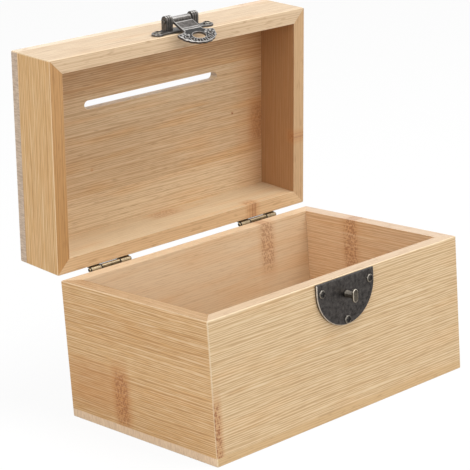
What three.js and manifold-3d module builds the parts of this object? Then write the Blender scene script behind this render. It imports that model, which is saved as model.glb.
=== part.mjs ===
// A small hinged bamboo chest: a mitred box, a mitred lid with a long slot in its top,
// two butt hinges, and a hasp on the lid that drops over a turn knob on the box.
// Units are millimetres. X runs along the front, Y to the back, Z up.
// The origin is the middle of the underside of the base board.

import * as THREE from 'three';
import { mergeVertices } from 'three/addons/utils/BufferGeometryUtils.js';
import Module from 'manifold-3d';

const wasm = await Module();
wasm.setup();

// Carcass boards
const boxWidth = 200;
const boxDepth = 128;
const boxWallHeight = 78.5;
const lidWallHeight = 30;
const wallThickness = 9;
const baseThickness = 5;
const panelThickness = 6;
const glueLine = 0.25;
const rimGap = 0.4;
const arrisSize = 0.6;
const cornerRadius = 1;

// The lid stands open at this angle, measured from closed
const lidOpenAngle = 85;

// Slot through the lid panel
const slotLength = 105.5;
const slotWidth = 5.2;
const slotFromFront = 40.5;

// Pan head wood screws
const screwHeadRadius = 2.4;
const screwHeadHeight = 1.1;
const screwHeadEdge = 0.45;
const screwCrownRadius = 1.5;
const screwCrownHeight = 1;
const screwShankRadius = 1.1;
const screwLength = 8;
const screwTipLength = 2;
const screwRecessWidth = 0.7;
const screwRecessLength = 2.9;
const screwRecessDepth = 0.6;
const screwHoleClearance = 0.15;
const screwHeadClearance = 0.05;
const pilotExtraDepth = 0.5;

// Butt hinges on the back faces, as a pair a little left of the middle
const hingeOffset = -1.4;
const hingeSpacing = 120;
const hingeLength = 30;
const hingeLeafHeight = 13;
const hingeLeafThickness = 0.8;
const hingeLeafCorner = 2;
const hingeKnuckleRadius = 1.75;
const hingeMiddleKnuckle = 14;
const hingeKnuckleGap = 0.3;
const hingeSwingClearance = 0.4;
const hingePinRadius = 0.8;
const hingePinHeadRadius = 1.25;
const hingePinHeadLength = 0.5;
const hingeScrewSpacing = 19;
const hingeScrewFromPin = 9;
const pinBoreClearance = 0.08;
const metalSeatGap = 0.3;

// Fittings at the front, all on one centre line a little right of the middle
const fittingOffset = 3.4;
const fittingScrewSpacing = 38.5;

// Catch plate on the box
const catchWidth = 46;
const catchStraightSide = 5.6;
const catchThickness = 1.4;
const catchBevel = 0.7;
const catchBelowRim = 0.5;
const catchSideScrewBelowRim = 6.3;
const catchFootScrewBelowRim = 26;

// Turn knob riveted in the catch plate
const knobBelowRim = 10.8;
const knobPostRadius = 2.2;
const knobStemRadius = 1.6;
const knobStemClearance = 0.08;
const knobHeadWidth = 3.9;
const knobHeadLength = 7.8;
const knobHeadThickness = 1.5;
const knobHeadBevel = 0.4;
const knobPeenRadius = 2.6;
const knobPeenThickness = 0.8;
const knobEndPlay = 0.15;
const knobBoreClearance = 0.6;

// Hasp bracket on the lid
const haspPinAboveRim = 7.3;
const haspPinProud = 6.7;
const haspPinRadius = 1;
const haspPinHeadRadius = 1.6;
const haspPinHeadLength = 0.6;
const bracketThickness = 1.2;
const bracketEarAboveRim = 5;
const bracketEarRadius = 3.9;
const bracketWaist = 2.4;
const bracketFootBelowEar = 3;
const bracketFootBeyondLug = 0.4;
const lugWidth = 5;
const lugHalfDepth = 2.6;
const lugAbovePin = 3.5;
const lugRibs = 3;
const lugRibBevel = 0.35;
const lugRibOverlap = 0.02;

// Swinging hasp
const haspBarrelLength = 14.6;
const haspBarrelRadius = 2.3;
const haspSideClearance = 0.3;
const haspThickness = 1.2;
const haspStrapWidth = 14;
const haspHoleWidth = 9.6;
const haspHoleHeight = 6.4;
const haspPlateWidth = 27.4;
const haspPlateBelowHole = 6.7;
const haspShoulderAboveHole = 6;
const haspTipAboveHole = 3.7;
const haspScallops = 9;
const haspScallopDepth = 0.9;
const haspPiercings = 7;
const haspPiercingLength = 2.6;
const haspPiercingWidth = 1.7;
const haspKnobGap = 0.4;
const haspDroopAngle = 24;

// Shape of a peened pin head: its flat crown and its straight edge, as shares of its radius and length
const peenCrownShare = 0.6;
const peenEdgeShare = 0.4;

// Facets on round forms
const roundFacets = 24;
const smallFacets = 14;
const overcut = 1;

// Levels and axes that follow from the sizes above
const boxHeight = baseThickness + boxWallHeight;
const lidHeight = lidWallHeight + panelThickness;
const lidRim = boxHeight + rimGap;
const frontFace = -boxDepth / 2;
const backFace = boxDepth / 2;
const hingePinY = backFace + metalSeatGap + hingeKnuckleRadius;
const hingePinZ = boxHeight + rimGap / 2;
const haspPinY = frontFace - haspPinProud;
const haspPinZ = lidRim + haspPinAboveRim;
const bracketEarZ = lidRim + bracketEarAboveRim;
const knobZ = boxHeight - knobBelowRim;
const haspHoleDrop = haspPinZ - knobZ;

// Colours of the materials
const bambooColour = 0xd9b483;
const bambooPanelColour = 0xcfa26f;
const brassColour = 0x7a6244;
const pewterColour = 0x4a4744;
const steelColour = 0x6d6a66;

/** Turn a closed three.js geometry into a solid that can be cut and joined. */
function solid(geometry) {
  const bare = geometry.index ? geometry.toNonIndexed() : geometry.clone();
  bare.deleteAttribute('normal');
  bare.deleteAttribute('uv');
  const merged = mergeVertices(bare, 1e-4);
  const index = merged.index.array;
  const kept = [];
  for (let i = 0; i < index.length; i += 3) {
    const [a, b, c] = [index[i], index[i + 1], index[i + 2]];
    if (a !== b && b !== c && c !== a) kept.push(a, b, c);
  }
  const mesh = new wasm.Mesh({
    numProp: 3,
    vertProperties: new Float32Array(merged.attributes.position.array),
    triVerts: new Uint32Array(kept),
  });
  return new wasm.Manifold(mesh);
}

/** Turn a solid back into a three.js geometry. */
function geometryOf(body) {
  const mesh = body.getMesh();
  const geometry = new THREE.BufferGeometry();
  geometry.setAttribute('position', new THREE.BufferAttribute(mesh.vertProperties, mesh.numProp));
  geometry.setIndex(new THREE.BufferAttribute(mesh.triVerts, 1));
  geometry.computeVertexNormals();
  return geometry;
}

/** Join several solids into one. */
function join(first, ...others) {
  return others.reduce((body, other) => body.add(other), first);
}

/** Cut several solids out of one. */
function cut(body, ...tools) {
  return tools.reduce((rest, tool) => rest.subtract(tool), body);
}

/** A box between two corners. */
function block(low, high) {
  const size = high.map((value, axis) => value - low[axis]);
  const middle = high.map((value, axis) => (value + low[axis]) / 2);
  return solid(new THREE.BoxGeometry(...size).translate(...middle));
}

/** A cylinder along X between two stations, with its axis at (y, z). */
function rodAlongX(radius, fromX, toX, y, z, facets = roundFacets) {
  const geometry = new THREE.CylinderGeometry(radius, radius, toX - fromX, facets);
  geometry.rotateZ(Math.PI / 2);
  return solid(geometry.translate((fromX + toX) / 2, y, z));
}

/** A cylinder along Y between two stations, with its axis at (x, z). */
function rodAlongY(radius, fromY, toY, x, z, facets = smallFacets) {
  const geometry = new THREE.CylinderGeometry(radius, radius, toY - fromY, facets);
  return solid(geometry.translate(x, (fromY + toY) / 2, z));
}

/** Stand a flat outline up on the front: its y becomes height, and it grows towards the viewer. */
function onFront(geometry, x, y, z) {
  return geometry.rotateX(Math.PI / 2).translate(x, y, z);
}

/** Stand a flat outline up on the back: its y becomes height, and it grows away from the box. */
function onBack(geometry, x, y, z) {
  return geometry.rotateX(Math.PI / 2).rotateZ(Math.PI).translate(x, y, z);
}

/** A rectangle with rounded corners, centred on the origin. */
function roundedRectangle(width, height, radius) {
  const [x, y] = [width / 2 - radius, height / 2 - radius];
  const shape = new THREE.Shape();
  shape.absarc(x, y, radius, 0, Math.PI / 2, false);
  shape.absarc(-x, y, radius, Math.PI / 2, Math.PI, false);
  shape.absarc(-x, -y, radius, Math.PI, Math.PI * 1.5, false);
  shape.absarc(x, -y, radius, Math.PI * 1.5, Math.PI * 2, false);
  shape.closePath();
  return shape;
}

/** An oblong with half round ends, centred on the origin, its long side along x or y. */
function oblong(length, width, alongY) {
  const radius = width / 2;
  const reach = length / 2 - radius;
  const [x, y, turn] = alongY ? [0, reach, 0] : [reach, 0, -Math.PI / 2];
  const shape = new THREE.Shape();
  shape.absarc(x, y, radius, turn, turn + Math.PI, false);
  shape.absarc(-x, -y, radius, turn + Math.PI, turn + Math.PI * 2, false);
  shape.closePath();
  return shape;
}

/** The whole outside of a carcass, with its outer arrises eased. */
function easedBlock(bottom, top) {
  const geometry = new THREE.ExtrudeGeometry(roundedRectangle(boxWidth, boxDepth, cornerRadius), {
    depth: top - bottom - 2 * arrisSize,
    bevelEnabled: true,
    bevelSize: arrisSize,
    bevelOffset: -arrisSize,
    bevelThickness: arrisSize,
    bevelSegments: 2,
    curveSegments: 3,
  });
  return solid(geometry.translate(0, 0, bottom + arrisSize));
}

/** A wall blank of the given outer length, mitred at both ends, its outer face on y = 0. */
function mitredBlank(length, bottom, top) {
  const mitreSetback = glueLine / Math.SQRT2;
  const outer = length / 2 + overcut - mitreSetback;
  const inner = length / 2 - wallThickness - mitreSetback;
  const shape = new THREE.Shape();
  shape.moveTo(-outer, -overcut);
  shape.lineTo(outer, -overcut);
  shape.lineTo(inner, wallThickness);
  shape.lineTo(-inner, wallThickness);
  shape.closePath();
  const geometry = new THREE.ExtrudeGeometry(shape, { depth: top - bottom, bevelEnabled: false });
  return geometry.translate(0, 0, bottom);
}

/** The four mitred walls of a carcass, cut from its eased outer block. */
function mitredWalls(outside, bottom, top) {
  const front = mitredBlank(boxWidth, bottom, top).translate(0, frontFace, 0);
  const back = mitredBlank(boxWidth, bottom, top).rotateZ(Math.PI).translate(0, backFace, 0);
  const left = mitredBlank(boxDepth, bottom, top).rotateZ(-Math.PI / 2).translate(-boxWidth / 2, 0, 0);
  const right = mitredBlank(boxDepth, bottom, top).rotateZ(Math.PI / 2).translate(boxWidth / 2, 0, 0);
  return {
    front: outside.intersect(solid(front)),
    back: outside.intersect(solid(back)),
    left: outside.intersect(solid(left)),
    right: outside.intersect(solid(right)),
  };
}

/** A flat board across the whole carcass, cut from its eased outer block. */
function fullBoard(outside, bottom, top) {
  const [x, y] = [boxWidth / 2 + overcut, boxDepth / 2 + overcut];
  return outside.intersect(block([-x, -y, bottom], [x, y, top]));
}

/** A pan head screw along Z, its head resting on z = 0, with a cross recess. */
function screwGeometry() {
  const profile = [
    [0, -screwLength],
    [screwShankRadius, -screwLength + screwTipLength],
    [screwShankRadius, 0],
    [screwHeadRadius, 0],
    [screwHeadRadius, screwHeadEdge],
    [screwCrownRadius, screwCrownHeight],
    [0, screwHeadHeight],
  ];
  const points = profile.map(([radius, height]) => new THREE.Vector2(radius, height));
  const body = solid(new THREE.LatheGeometry(points, smallFacets).rotateX(Math.PI / 2));
  const [half, width] = [screwRecessLength / 2, screwRecessWidth / 2];
  const floor = screwHeadHeight - screwRecessDepth;
  const along = block([-half, -width, floor], [half, width, screwHeadHeight + overcut]);
  const across = block([-width, -half, floor], [width, half, screwHeadHeight + overcut]);
  return geometryOf(cut(body, along, across));
}

/** The pilot hole that a screw needs in the wall behind its seat, from the seat inwards. */
function pilotHole(x, seatY, z, inwards) {
  const end = seatY + inwards * (screwLength + pilotExtraDepth);
  const start = seatY - inwards * overcut;
  const radius = screwShankRadius + screwHoleClearance;
  return rodAlongY(radius, Math.min(start, end), Math.max(start, end), x, z);
}

/** Places of the screws that hold one hinge leaf, as x stations. */
function hingeScrewStations(centreX) {
  return [centreX - hingeScrewSpacing / 2, centreX + hingeScrewSpacing / 2];
}

/** One hinge leaf on the back. side is -1 for the box leaf below the pin, 1 for the lid leaf. */
function hingeLeaf(centreX, side) {
  const inner = backFace + metalSeatGap;
  const clear = hingeKnuckleRadius + hingeSwingClearance;
  const plateHeight = hingeLeafHeight - clear;
  const plate = new THREE.ExtrudeGeometry(roundedRectangle(hingeLength, plateHeight, hingeLeafCorner), {
    depth: hingeLeafThickness,
    bevelEnabled: false,
    curveSegments: 4,
  });
  const middleZ = hingePinZ + side * (clear + plateHeight / 2);
  let leaf = solid(onBack(plate, centreX, inner, middleZ));
  const half = hingeMiddleKnuckle / 2;
  const end = hingeLength / 2;
  const spans = side < 0
    ? [[-half, half]]
    : [[-end, -half - hingeKnuckleGap], [half + hingeKnuckleGap, end]];
  for (const [from, to] of spans) {
    const levels = [hingePinZ, hingePinZ + side * (clear + hingeLeafCorner)];
    const neck = block(
      [centreX + from, inner, Math.min(...levels)],
      [centreX + to, inner + hingeLeafThickness, Math.max(...levels)],
    );
    const knuckle = rodAlongX(hingeKnuckleRadius, centreX + from, centreX + to, hingePinY, hingePinZ);
    leaf = join(leaf, neck, knuckle);
  }
  const boreRadius = hingePinRadius + pinBoreClearance;
  const bore = rodAlongX(
    boreRadius, centreX - end - overcut, centreX + end + overcut, hingePinY, hingePinZ,
  );
  const holes = hingeScrewStations(centreX).map((x) => rodAlongY(
    screwShankRadius + screwHoleClearance, inner - overcut, inner + hingeLeafThickness + overcut,
    x, hingePinZ + side * hingeScrewFromPin,
  ));
  return cut(leaf, bore, ...holes);
}

/** A pin along X with a low head at each end, revolved about its axis. */
function headedPin(radius, headRadius, headLength, length, clearance) {
  const half = length / 2 + clearance;
  const profile = [
    [0, -half - headLength],
    [headRadius * peenCrownShare, -half - headLength],
    [headRadius, -half - headLength * peenEdgeShare],
    [headRadius, -half],
    [radius, -half],
    [radius, half],
    [headRadius, half],
    [headRadius, half + headLength * peenEdgeShare],
    [headRadius * peenCrownShare, half + headLength],
    [0, half + headLength],
  ];
  const points = profile.map(([r, y]) => new THREE.Vector2(r, y));
  return new THREE.LatheGeometry(points, roundFacets).rotateZ(Math.PI / 2);
}

/** The half round catch plate on the box front, with a bevelled front edge. */
function catchPlate() {
  const radius = catchWidth / 2;
  const shape = new THREE.Shape();
  shape.moveTo(radius, 0);
  shape.lineTo(-radius, 0);
  shape.lineTo(-radius, -catchStraightSide);
  shape.absarc(0, -catchStraightSide, radius, Math.PI, Math.PI * 2, false);
  shape.closePath();
  const geometry = new THREE.ExtrudeGeometry(shape, {
    depth: catchThickness - catchBevel,
    bevelEnabled: true,
    bevelSize: catchBevel,
    bevelOffset: -catchBevel,
    bevelThickness: catchBevel,
    bevelSegments: 2,
    curveSegments: 32,
  });
  const seat = frontFace - metalSeatGap;
  const top = boxHeight - catchBelowRim;
  const plate = solid(onFront(geometry, fittingOffset, seat, top));
  const backBevel = block(
    [fittingOffset - catchWidth, seat, top - catchWidth],
    [fittingOffset + catchWidth, seat + catchBevel + overcut, top + overcut],
  );
  const holes = catchScrews().map(({ x, z }) => rodAlongY(
    screwShankRadius + screwHoleClearance, seat - catchThickness - overcut, seat + overcut, x, z,
  ));
  const stemHole = rodAlongY(
    knobStemRadius + knobStemClearance, seat - catchThickness - overcut, seat + overcut,
    fittingOffset, knobZ, roundFacets,
  );
  return cut(plate, backBevel, stemHole, ...holes);
}

/** Places of the three screws in the catch plate. */
function catchScrews() {
  const reach = fittingScrewSpacing / 2;
  return [
    { name: 'catch_screw_left', x: fittingOffset - reach, z: boxHeight - catchSideScrewBelowRim },
    { name: 'catch_screw_right', x: fittingOffset + reach, z: boxHeight - catchSideScrewBelowRim },
    { name: 'catch_screw_foot', x: fittingOffset, z: boxHeight - catchFootScrewBelowRim },
  ];
}

/** The turn knob: an oblong head on a round post, its stem peened over behind the catch plate. */
function turnKnob() {
  const plateFront = metalSeatGap + catchThickness;
  const headInner = haspPinProud + haspThickness / 2 + haspKnobGap;
  const peenFront = metalSeatGap - knobEndPlay;
  const profile = [
    [0, peenFront - knobPeenThickness],
    [knobPeenRadius * peenCrownShare, peenFront - knobPeenThickness],
    [knobPeenRadius, peenFront - knobPeenThickness * peenEdgeShare],
    [knobPeenRadius, peenFront],
    [knobStemRadius, peenFront],
    [knobStemRadius, plateFront + knobEndPlay],
    [knobPostRadius, plateFront + knobEndPlay],
    [knobPostRadius, headInner + knobHeadBevel],
    [0, headInner + knobHeadBevel],
  ];
  const points = profile.map(([r, y]) => new THREE.Vector2(r, y));
  const post = new THREE.LatheGeometry(points, roundFacets).rotateX(Math.PI / 2);
  const head = new THREE.ExtrudeGeometry(oblong(knobHeadLength, knobHeadWidth, true), {
    depth: knobHeadThickness - 2 * knobHeadBevel,
    bevelEnabled: true,
    bevelSize: knobHeadBevel,
    bevelOffset: -knobHeadBevel,
    bevelThickness: knobHeadBevel,
    bevelSegments: 2,
    curveSegments: 6,
  });
  head.translate(0, 0, headInner + knobHeadBevel);
  const placed = [post, head].map((geometry) => onFront(geometry, fittingOffset, frontFace, knobZ));
  return join(...placed.map(solid));
}

/** The bore in the box front that clears the peened end of the knob's stem. */
function knobBore() {
  const depth = knobPeenThickness + knobEndPlay + knobBoreClearance;
  const radius = knobPeenRadius + knobBoreClearance;
  return rodAlongY(radius, frontFace - overcut, frontFace + depth, fittingOffset, knobZ, roundFacets);
}

/** Places of the two screws in the hasp bracket. */
function bracketScrews() {
  const reach = fittingScrewSpacing / 2;
  return [
    { name: 'hasp_screw_left', x: fittingOffset - reach, z: bracketEarZ },
    { name: 'hasp_screw_right', x: fittingOffset + reach, z: bracketEarZ },
  ];
}

/** Outline of the bracket's foot about the level of its ears: a body drawn in towards two round ears. */
function bracketOutline() {
  const ear = fittingScrewSpacing / 2;
  const lugEnd = haspBarrelLength / 2 + haspSideClearance + lugWidth;
  const waist = (ear + lugEnd) / 2;
  const top = haspPinZ - bracketEarZ + lugHalfDepth + bracketFootBeyondLug;
  const shape = new THREE.Shape();
  shape.moveTo(-lugEnd, top);
  shape.quadraticCurveTo(-waist, bracketWaist, -ear, bracketEarRadius);
  shape.absarc(-ear, 0, bracketEarRadius, Math.PI / 2, Math.PI * 1.5, false);
  shape.quadraticCurveTo(-waist, -bracketWaist, -lugEnd, -bracketFootBelowEar);
  shape.lineTo(lugEnd, -bracketFootBelowEar);
  shape.quadraticCurveTo(waist, -bracketWaist, ear, -bracketEarRadius);
  shape.absarc(ear, 0, bracketEarRadius, -Math.PI / 2, Math.PI / 2, false);
  shape.quadraticCurveTo(waist, bracketWaist, lugEnd, top);
  shape.closePath();
  return shape;
}

/** One ribbed lug of the bracket, its inner side at the given station from the centre line. */
function bracketLug(innerX, side) {
  const foot = metalSeatGap + bracketThickness / 2;
  const domeCentre = haspPinProud + lugAbovePin - lugHalfDepth;
  const shape = new THREE.Shape();
  shape.moveTo(-lugHalfDepth, foot);
  shape.lineTo(lugHalfDepth, foot);
  shape.absarc(0, domeCentre, lugHalfDepth, 0, Math.PI, false);
  shape.closePath();
  const ribWidth = lugWidth / lugRibs;
  const ribs = [];
  for (let i = 0; i < lugRibs; i += 1) {
    const rib = new THREE.ExtrudeGeometry(shape, {
      depth: ribWidth - 2 * lugRibBevel + lugRibOverlap,
      bevelEnabled: true,
      bevelSize: lugRibBevel,
      bevelOffset: -lugRibBevel,
      bevelThickness: lugRibBevel,
      bevelSegments: 2,
      curveSegments: 10,
    });
    // The outline's x becomes height and its y points out of the front
    rib.rotateY(Math.PI / 2).rotateX(Math.PI);
    const near = side > 0 ? innerX + i * ribWidth : innerX - (i + 1) * ribWidth;
    const start = fittingOffset + near + lugRibBevel - lugRibOverlap / 2;
    ribs.push(solid(rib.translate(start, frontFace, haspPinZ)));
  }
  return join(...ribs);
}

/** The fixed half of the hasp: a foot with two ribbed lugs, bored for the pin. */
function haspBracket() {
  const seat = frontFace - metalSeatGap;
  const footGeometry = new THREE.ExtrudeGeometry(bracketOutline(), {
    depth: bracketThickness,
    bevelEnabled: false,
    curveSegments: 8,
  });
  const foot = solid(onFront(footGeometry, fittingOffset, seat, bracketEarZ));
  const inner = haspBarrelLength / 2 + haspSideClearance;
  const bracket = join(foot, bracketLug(inner, 1), bracketLug(-inner, -1));
  const reach = inner + lugWidth + overcut;
  const bore = rodAlongX(
    haspPinRadius + pinBoreClearance, fittingOffset - reach, fittingOffset + reach, haspPinY, haspPinZ,
  );
  const holes = bracketScrews().map(({ x, z }) => rodAlongY(
    screwShankRadius + screwHoleClearance, seat - bracketThickness - overcut, seat + overcut, x, z,
  ));
  return cut(bracket, bore, ...holes);
}

/** Outline of the hasp below its barrel: a strap that opens into a scalloped half moon. */
function haspOutline() {
  const [strap, plate] = [haspStrapWidth / 2, haspPlateWidth / 2];
  const tip = haspTipAboveHole - haspHoleDrop;
  const shoulder = haspShoulderAboveHole - haspHoleDrop;
  const drop = haspPlateBelowHole + haspTipAboveHole;
  const shape = new THREE.Shape();
  shape.moveTo(strap, 0);
  shape.lineTo(-strap, 0);
  shape.lineTo(-strap, shoulder);
  shape.quadraticCurveTo(-strap, tip + haspScallopDepth, -plate, tip);
  const step = Math.PI / haspScallops;
  for (let i = 0; i < haspScallops; i += 1) {
    const [middle, end] = [Math.PI + (i + 0.5) * step, Math.PI + (i + 1) * step];
    shape.quadraticCurveTo(
      (plate + haspScallopDepth) * Math.cos(middle),
      tip + (drop + haspScallopDepth) * Math.sin(middle),
      plate * Math.cos(end),
      tip + drop * Math.sin(end),
    );
  }
  shape.quadraticCurveTo(strap, tip + haspScallopDepth, strap, shoulder);
  shape.closePath();
  const hole = new THREE.Path();
  hole.absellipse(0, -haspHoleDrop, haspHoleWidth / 2, haspHoleHeight / 2, 0, Math.PI * 2, true, 0);
  shape.holes.push(hole);
  for (let i = 0; i < haspPiercings; i += 1) {
    const angle = Math.PI * (1 + (i + 0.5) / haspPiercings);
    const reachX = (plate + haspHoleWidth / 2) / 2;
    const reachY = (haspPlateBelowHole + haspHoleHeight / 2) / 2;
    const piercing = new THREE.Path();
    piercing.absellipse(
      reachX * Math.cos(angle),
      tip - haspTipAboveHole / 2 + (reachY + haspTipAboveHole / 2) * Math.sin(angle),
      haspPiercingLength / 2, haspPiercingWidth / 2, 0, Math.PI * 2, true, angle,
    );
    shape.holes.push(piercing);
  }
  return shape;
}

/** The swinging hasp, hanging straight down from its pin in front of the box. */
function haspFlap() {
  const geometry = new THREE.ExtrudeGeometry(haspOutline(), {
    depth: haspThickness,
    bevelEnabled: false,
    curveSegments: 5,
  });
  const plate = solid(onFront(geometry, fittingOffset, haspPinY + haspThickness / 2, haspPinZ));
  const half = haspBarrelLength / 2;
  const barrel = rodAlongX(
    haspBarrelRadius, fittingOffset - half, fittingOffset + half, haspPinY, haspPinZ,
  );
  const bore = rodAlongX(
    haspPinRadius + pinBoreClearance, fittingOffset - half - overcut, fittingOffset + half + overcut,
    haspPinY, haspPinZ,
  );
  return cut(join(plate, barrel), bore);
}

const bamboo = new THREE.MeshStandardMaterial({ color: bambooColour, roughness: 0.55, metalness: 0 });
const panelBamboo = new THREE.MeshStandardMaterial({
  color: bambooPanelColour, roughness: 0.6, metalness: 0,
});
const brass = new THREE.MeshStandardMaterial({ color: brassColour, roughness: 0.4, metalness: 1 });
const pewter = new THREE.MeshStandardMaterial({ color: pewterColour, roughness: 0.45, metalness: 1 });
const steel = new THREE.MeshStandardMaterial({ color: steelColour, roughness: 0.4, metalness: 1 });

const group = new THREE.Group();

// The lid turns about the hinge pins, and the hasp about its own pin on the lid
const lidPivot = new THREE.Group();
lidPivot.position.set(0, hingePinY, hingePinZ);
lidPivot.rotation.x = -THREE.MathUtils.degToRad(lidOpenAngle);
const lid = new THREE.Group();
lid.position.set(0, -hingePinY, -hingePinZ);
lidPivot.add(lid);
group.add(lidPivot);
const haspPivot = new THREE.Group();
haspPivot.position.set(0, haspPinY, haspPinZ);
haspPivot.rotation.x = THREE.MathUtils.degToRad(haspDroopAngle);
const hasp = new THREE.Group();
hasp.position.set(0, -haspPinY, -haspPinZ);
haspPivot.add(hasp);
lid.add(haspPivot);

/** Add one named piece to the group that carries it, with a material of its own. */
function addPiece(parent, name, geometry, material) {
  const mesh = new THREE.Mesh(geometry, material.clone());
  mesh.name = name;
  parent.add(mesh);
}

/** Add a screw whose head rests on seatY, facing the front or the back. */
function addScrew(parent, name, x, seatY, z, facing) {
  const placed = facing === 'front'
    ? onFront(screwGeometry(), x, seatY - screwHeadClearance, z)
    : onBack(screwGeometry(), x, seatY + screwHeadClearance, z);
  addPiece(parent, name, placed, steel);
}

const hinges = [['left', hingeOffset - hingeSpacing / 2], ['right', hingeOffset + hingeSpacing / 2]];
const hingeSeat = backFace + metalSeatGap + hingeLeafThickness;
const hingePilots = (side) => hinges.flatMap(([, centreX]) => hingeScrewStations(centreX).map(
  (x) => pilotHole(x, hingeSeat, hingePinZ + side * hingeScrewFromPin, -1),
));

// Box carcass
const boxOutside = easedBlock(0, boxHeight);
const boxWalls = mitredWalls(boxOutside, baseThickness + glueLine, boxHeight);
const catchSeat = frontFace - metalSeatGap - catchThickness;
const catchPilots = catchScrews().map(({ x, z }) => pilotHole(x, catchSeat, z, 1));
addPiece(group, 'base_board', geometryOf(fullBoard(boxOutside, -overcut, baseThickness)), bamboo);
addPiece(group, 'box_front_wall', geometryOf(cut(boxWalls.front, knobBore(), ...catchPilots)), bamboo);
addPiece(group, 'box_back_wall', geometryOf(cut(boxWalls.back, ...hingePilots(-1))), bamboo);
addPiece(group, 'box_left_wall', geometryOf(boxWalls.left), bamboo);
addPiece(group, 'box_right_wall', geometryOf(boxWalls.right), bamboo);

// Lid carcass, modelled closed
const lidOutside = easedBlock(lidRim, lidRim + lidHeight);
const lidWalls = mitredWalls(lidOutside, lidRim, lidRim + lidWallHeight);
const bracketSeat = frontFace - metalSeatGap - bracketThickness;
const bracketPilots = bracketScrews().map(({ x, z }) => pilotHole(x, bracketSeat, z, 1));
const slotGeometry = new THREE.ExtrudeGeometry(oblong(slotLength, slotWidth, false), {
  depth: lidHeight, bevelEnabled: false, curveSegments: 6,
});
const slot = solid(slotGeometry.translate(0, frontFace + slotFromFront, lidRim + overcut));
const panelBottom = lidRim + lidWallHeight + glueLine;
const panel = cut(fullBoard(lidOutside, panelBottom, lidRim + lidHeight + overcut), slot);
addPiece(lid, 'lid_panel', geometryOf(panel), panelBamboo);
addPiece(lid, 'lid_front_wall', geometryOf(cut(lidWalls.front, ...bracketPilots)), bamboo);
addPiece(lid, 'lid_back_wall', geometryOf(cut(lidWalls.back, ...hingePilots(1))), bamboo);
addPiece(lid, 'lid_left_wall', geometryOf(lidWalls.left), bamboo);
addPiece(lid, 'lid_right_wall', geometryOf(lidWalls.right), bamboo);

// Hinges: one leaf and two screws on each carcass, and a pin held in the box leaf
for (const [name, centreX] of hinges) {
  addPiece(group, `${name}_hinge_box_leaf`, geometryOf(hingeLeaf(centreX, -1)), brass);
  addPiece(lid, `${name}_hinge_lid_leaf`, geometryOf(hingeLeaf(centreX, 1)), brass);
  const pin = headedPin(
    hingePinRadius, hingePinHeadRadius, hingePinHeadLength, hingeLength, hingeKnuckleGap,
  );
  addPiece(group, `${name}_hinge_pin`, pin.translate(centreX, hingePinY, hingePinZ), brass);
  hingeScrewStations(centreX).forEach((x, i) => {
    const [boxZ, lidZ] = [hingePinZ - hingeScrewFromPin, hingePinZ + hingeScrewFromPin];
    addScrew(group, `${name}_hinge_box_screw_${i + 1}`, x, hingeSeat, boxZ, 'back');
    addScrew(lid, `${name}_hinge_lid_screw_${i + 1}`, x, hingeSeat, lidZ, 'back');
  });
}

// Catch plate with its screws and turn knob
addPiece(group, 'catch_plate', geometryOf(catchPlate()), pewter);
for (const { name, x, z } of catchScrews()) addScrew(group, name, x, catchSeat, z, 'front');
addPiece(group, 'turn_knob', geometryOf(turnKnob()), pewter);

// Hasp: bracket and screws on the lid, the pin in the bracket, the flap on the pin
addPiece(lid, 'hasp_bracket', geometryOf(haspBracket()), pewter);
for (const { name, x, z } of bracketScrews()) addScrew(lid, name, x, bracketSeat, z, 'front');
const haspPinLength = haspBarrelLength + 2 * (haspSideClearance + lugWidth);
const haspPin = headedPin(
  haspPinRadius, haspPinHeadRadius, haspPinHeadLength, haspPinLength, haspSideClearance,
);
addPiece(lid, 'hasp_pin', haspPin.translate(fittingOffset, haspPinY, haspPinZ), pewter);
addPiece(hasp, 'hasp_flap', geometryOf(haspFlap()), pewter);

export default group;
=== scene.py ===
"""Looks of a small hinged bamboo chest: mitred box and lid, rolled butt hinges, pierced hasp.

Every piece is modelled in millimetres with the lid shut and the hasp hanging straight, then
carried to its open place in metres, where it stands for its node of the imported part.
"""

import logging
import math
from collections.abc import Callable, Sequence
from dataclasses import dataclass
from enum import Enum

import bmesh
import bpy
from mathutils import Matrix, Vector


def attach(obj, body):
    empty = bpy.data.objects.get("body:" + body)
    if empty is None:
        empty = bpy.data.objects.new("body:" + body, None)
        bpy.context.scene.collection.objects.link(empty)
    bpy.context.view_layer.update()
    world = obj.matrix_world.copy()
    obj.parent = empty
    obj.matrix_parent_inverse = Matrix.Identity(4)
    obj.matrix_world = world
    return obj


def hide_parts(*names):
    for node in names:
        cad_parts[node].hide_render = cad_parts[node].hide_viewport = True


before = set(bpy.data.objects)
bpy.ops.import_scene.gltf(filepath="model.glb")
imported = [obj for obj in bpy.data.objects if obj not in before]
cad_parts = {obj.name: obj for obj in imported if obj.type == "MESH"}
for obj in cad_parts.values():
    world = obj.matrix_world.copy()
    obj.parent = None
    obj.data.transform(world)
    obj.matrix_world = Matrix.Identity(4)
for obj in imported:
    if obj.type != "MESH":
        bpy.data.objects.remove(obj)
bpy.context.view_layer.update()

LOG = logging.getLogger("chest")

Piece = bpy.types.Object
Node = bpy.types.Node
Socket = bpy.types.NodeSocket
Pair = Sequence[float]
Size = tuple[float, float, float]
Test = Callable[[Vector, Vector], bool]

MM = 0.001
NEAR = 1e-3
OVERCUT = 1.0
CREASE = math.radians(30.0)
FLAT_UP = 0.9
UP = Vector((0.0, 0.0, 1.0))
ALONG = Vector((1.0, 0.0, 0.0))

# Levels and axes that several pieces share, in millimetres with the lid shut
BOX_FRONT = -64.0
BOX_BACK = 64.0
BOX_RIM = 83.5
LID_RIM = 83.9
FITTING_X = 3.4
HINGE_PIN = Vector((0.0, 66.05, 83.7))
HASP_PIN = Vector((FITTING_X, -70.7, 91.2))
KNOB_LEVEL = 72.7
METAL_SEAT = 0.3
SCREW_PLAY = 0.05
SCREW_HOLE = 1.25
DRILL_SPAN = (-OVERCUT, 3.0)


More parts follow.
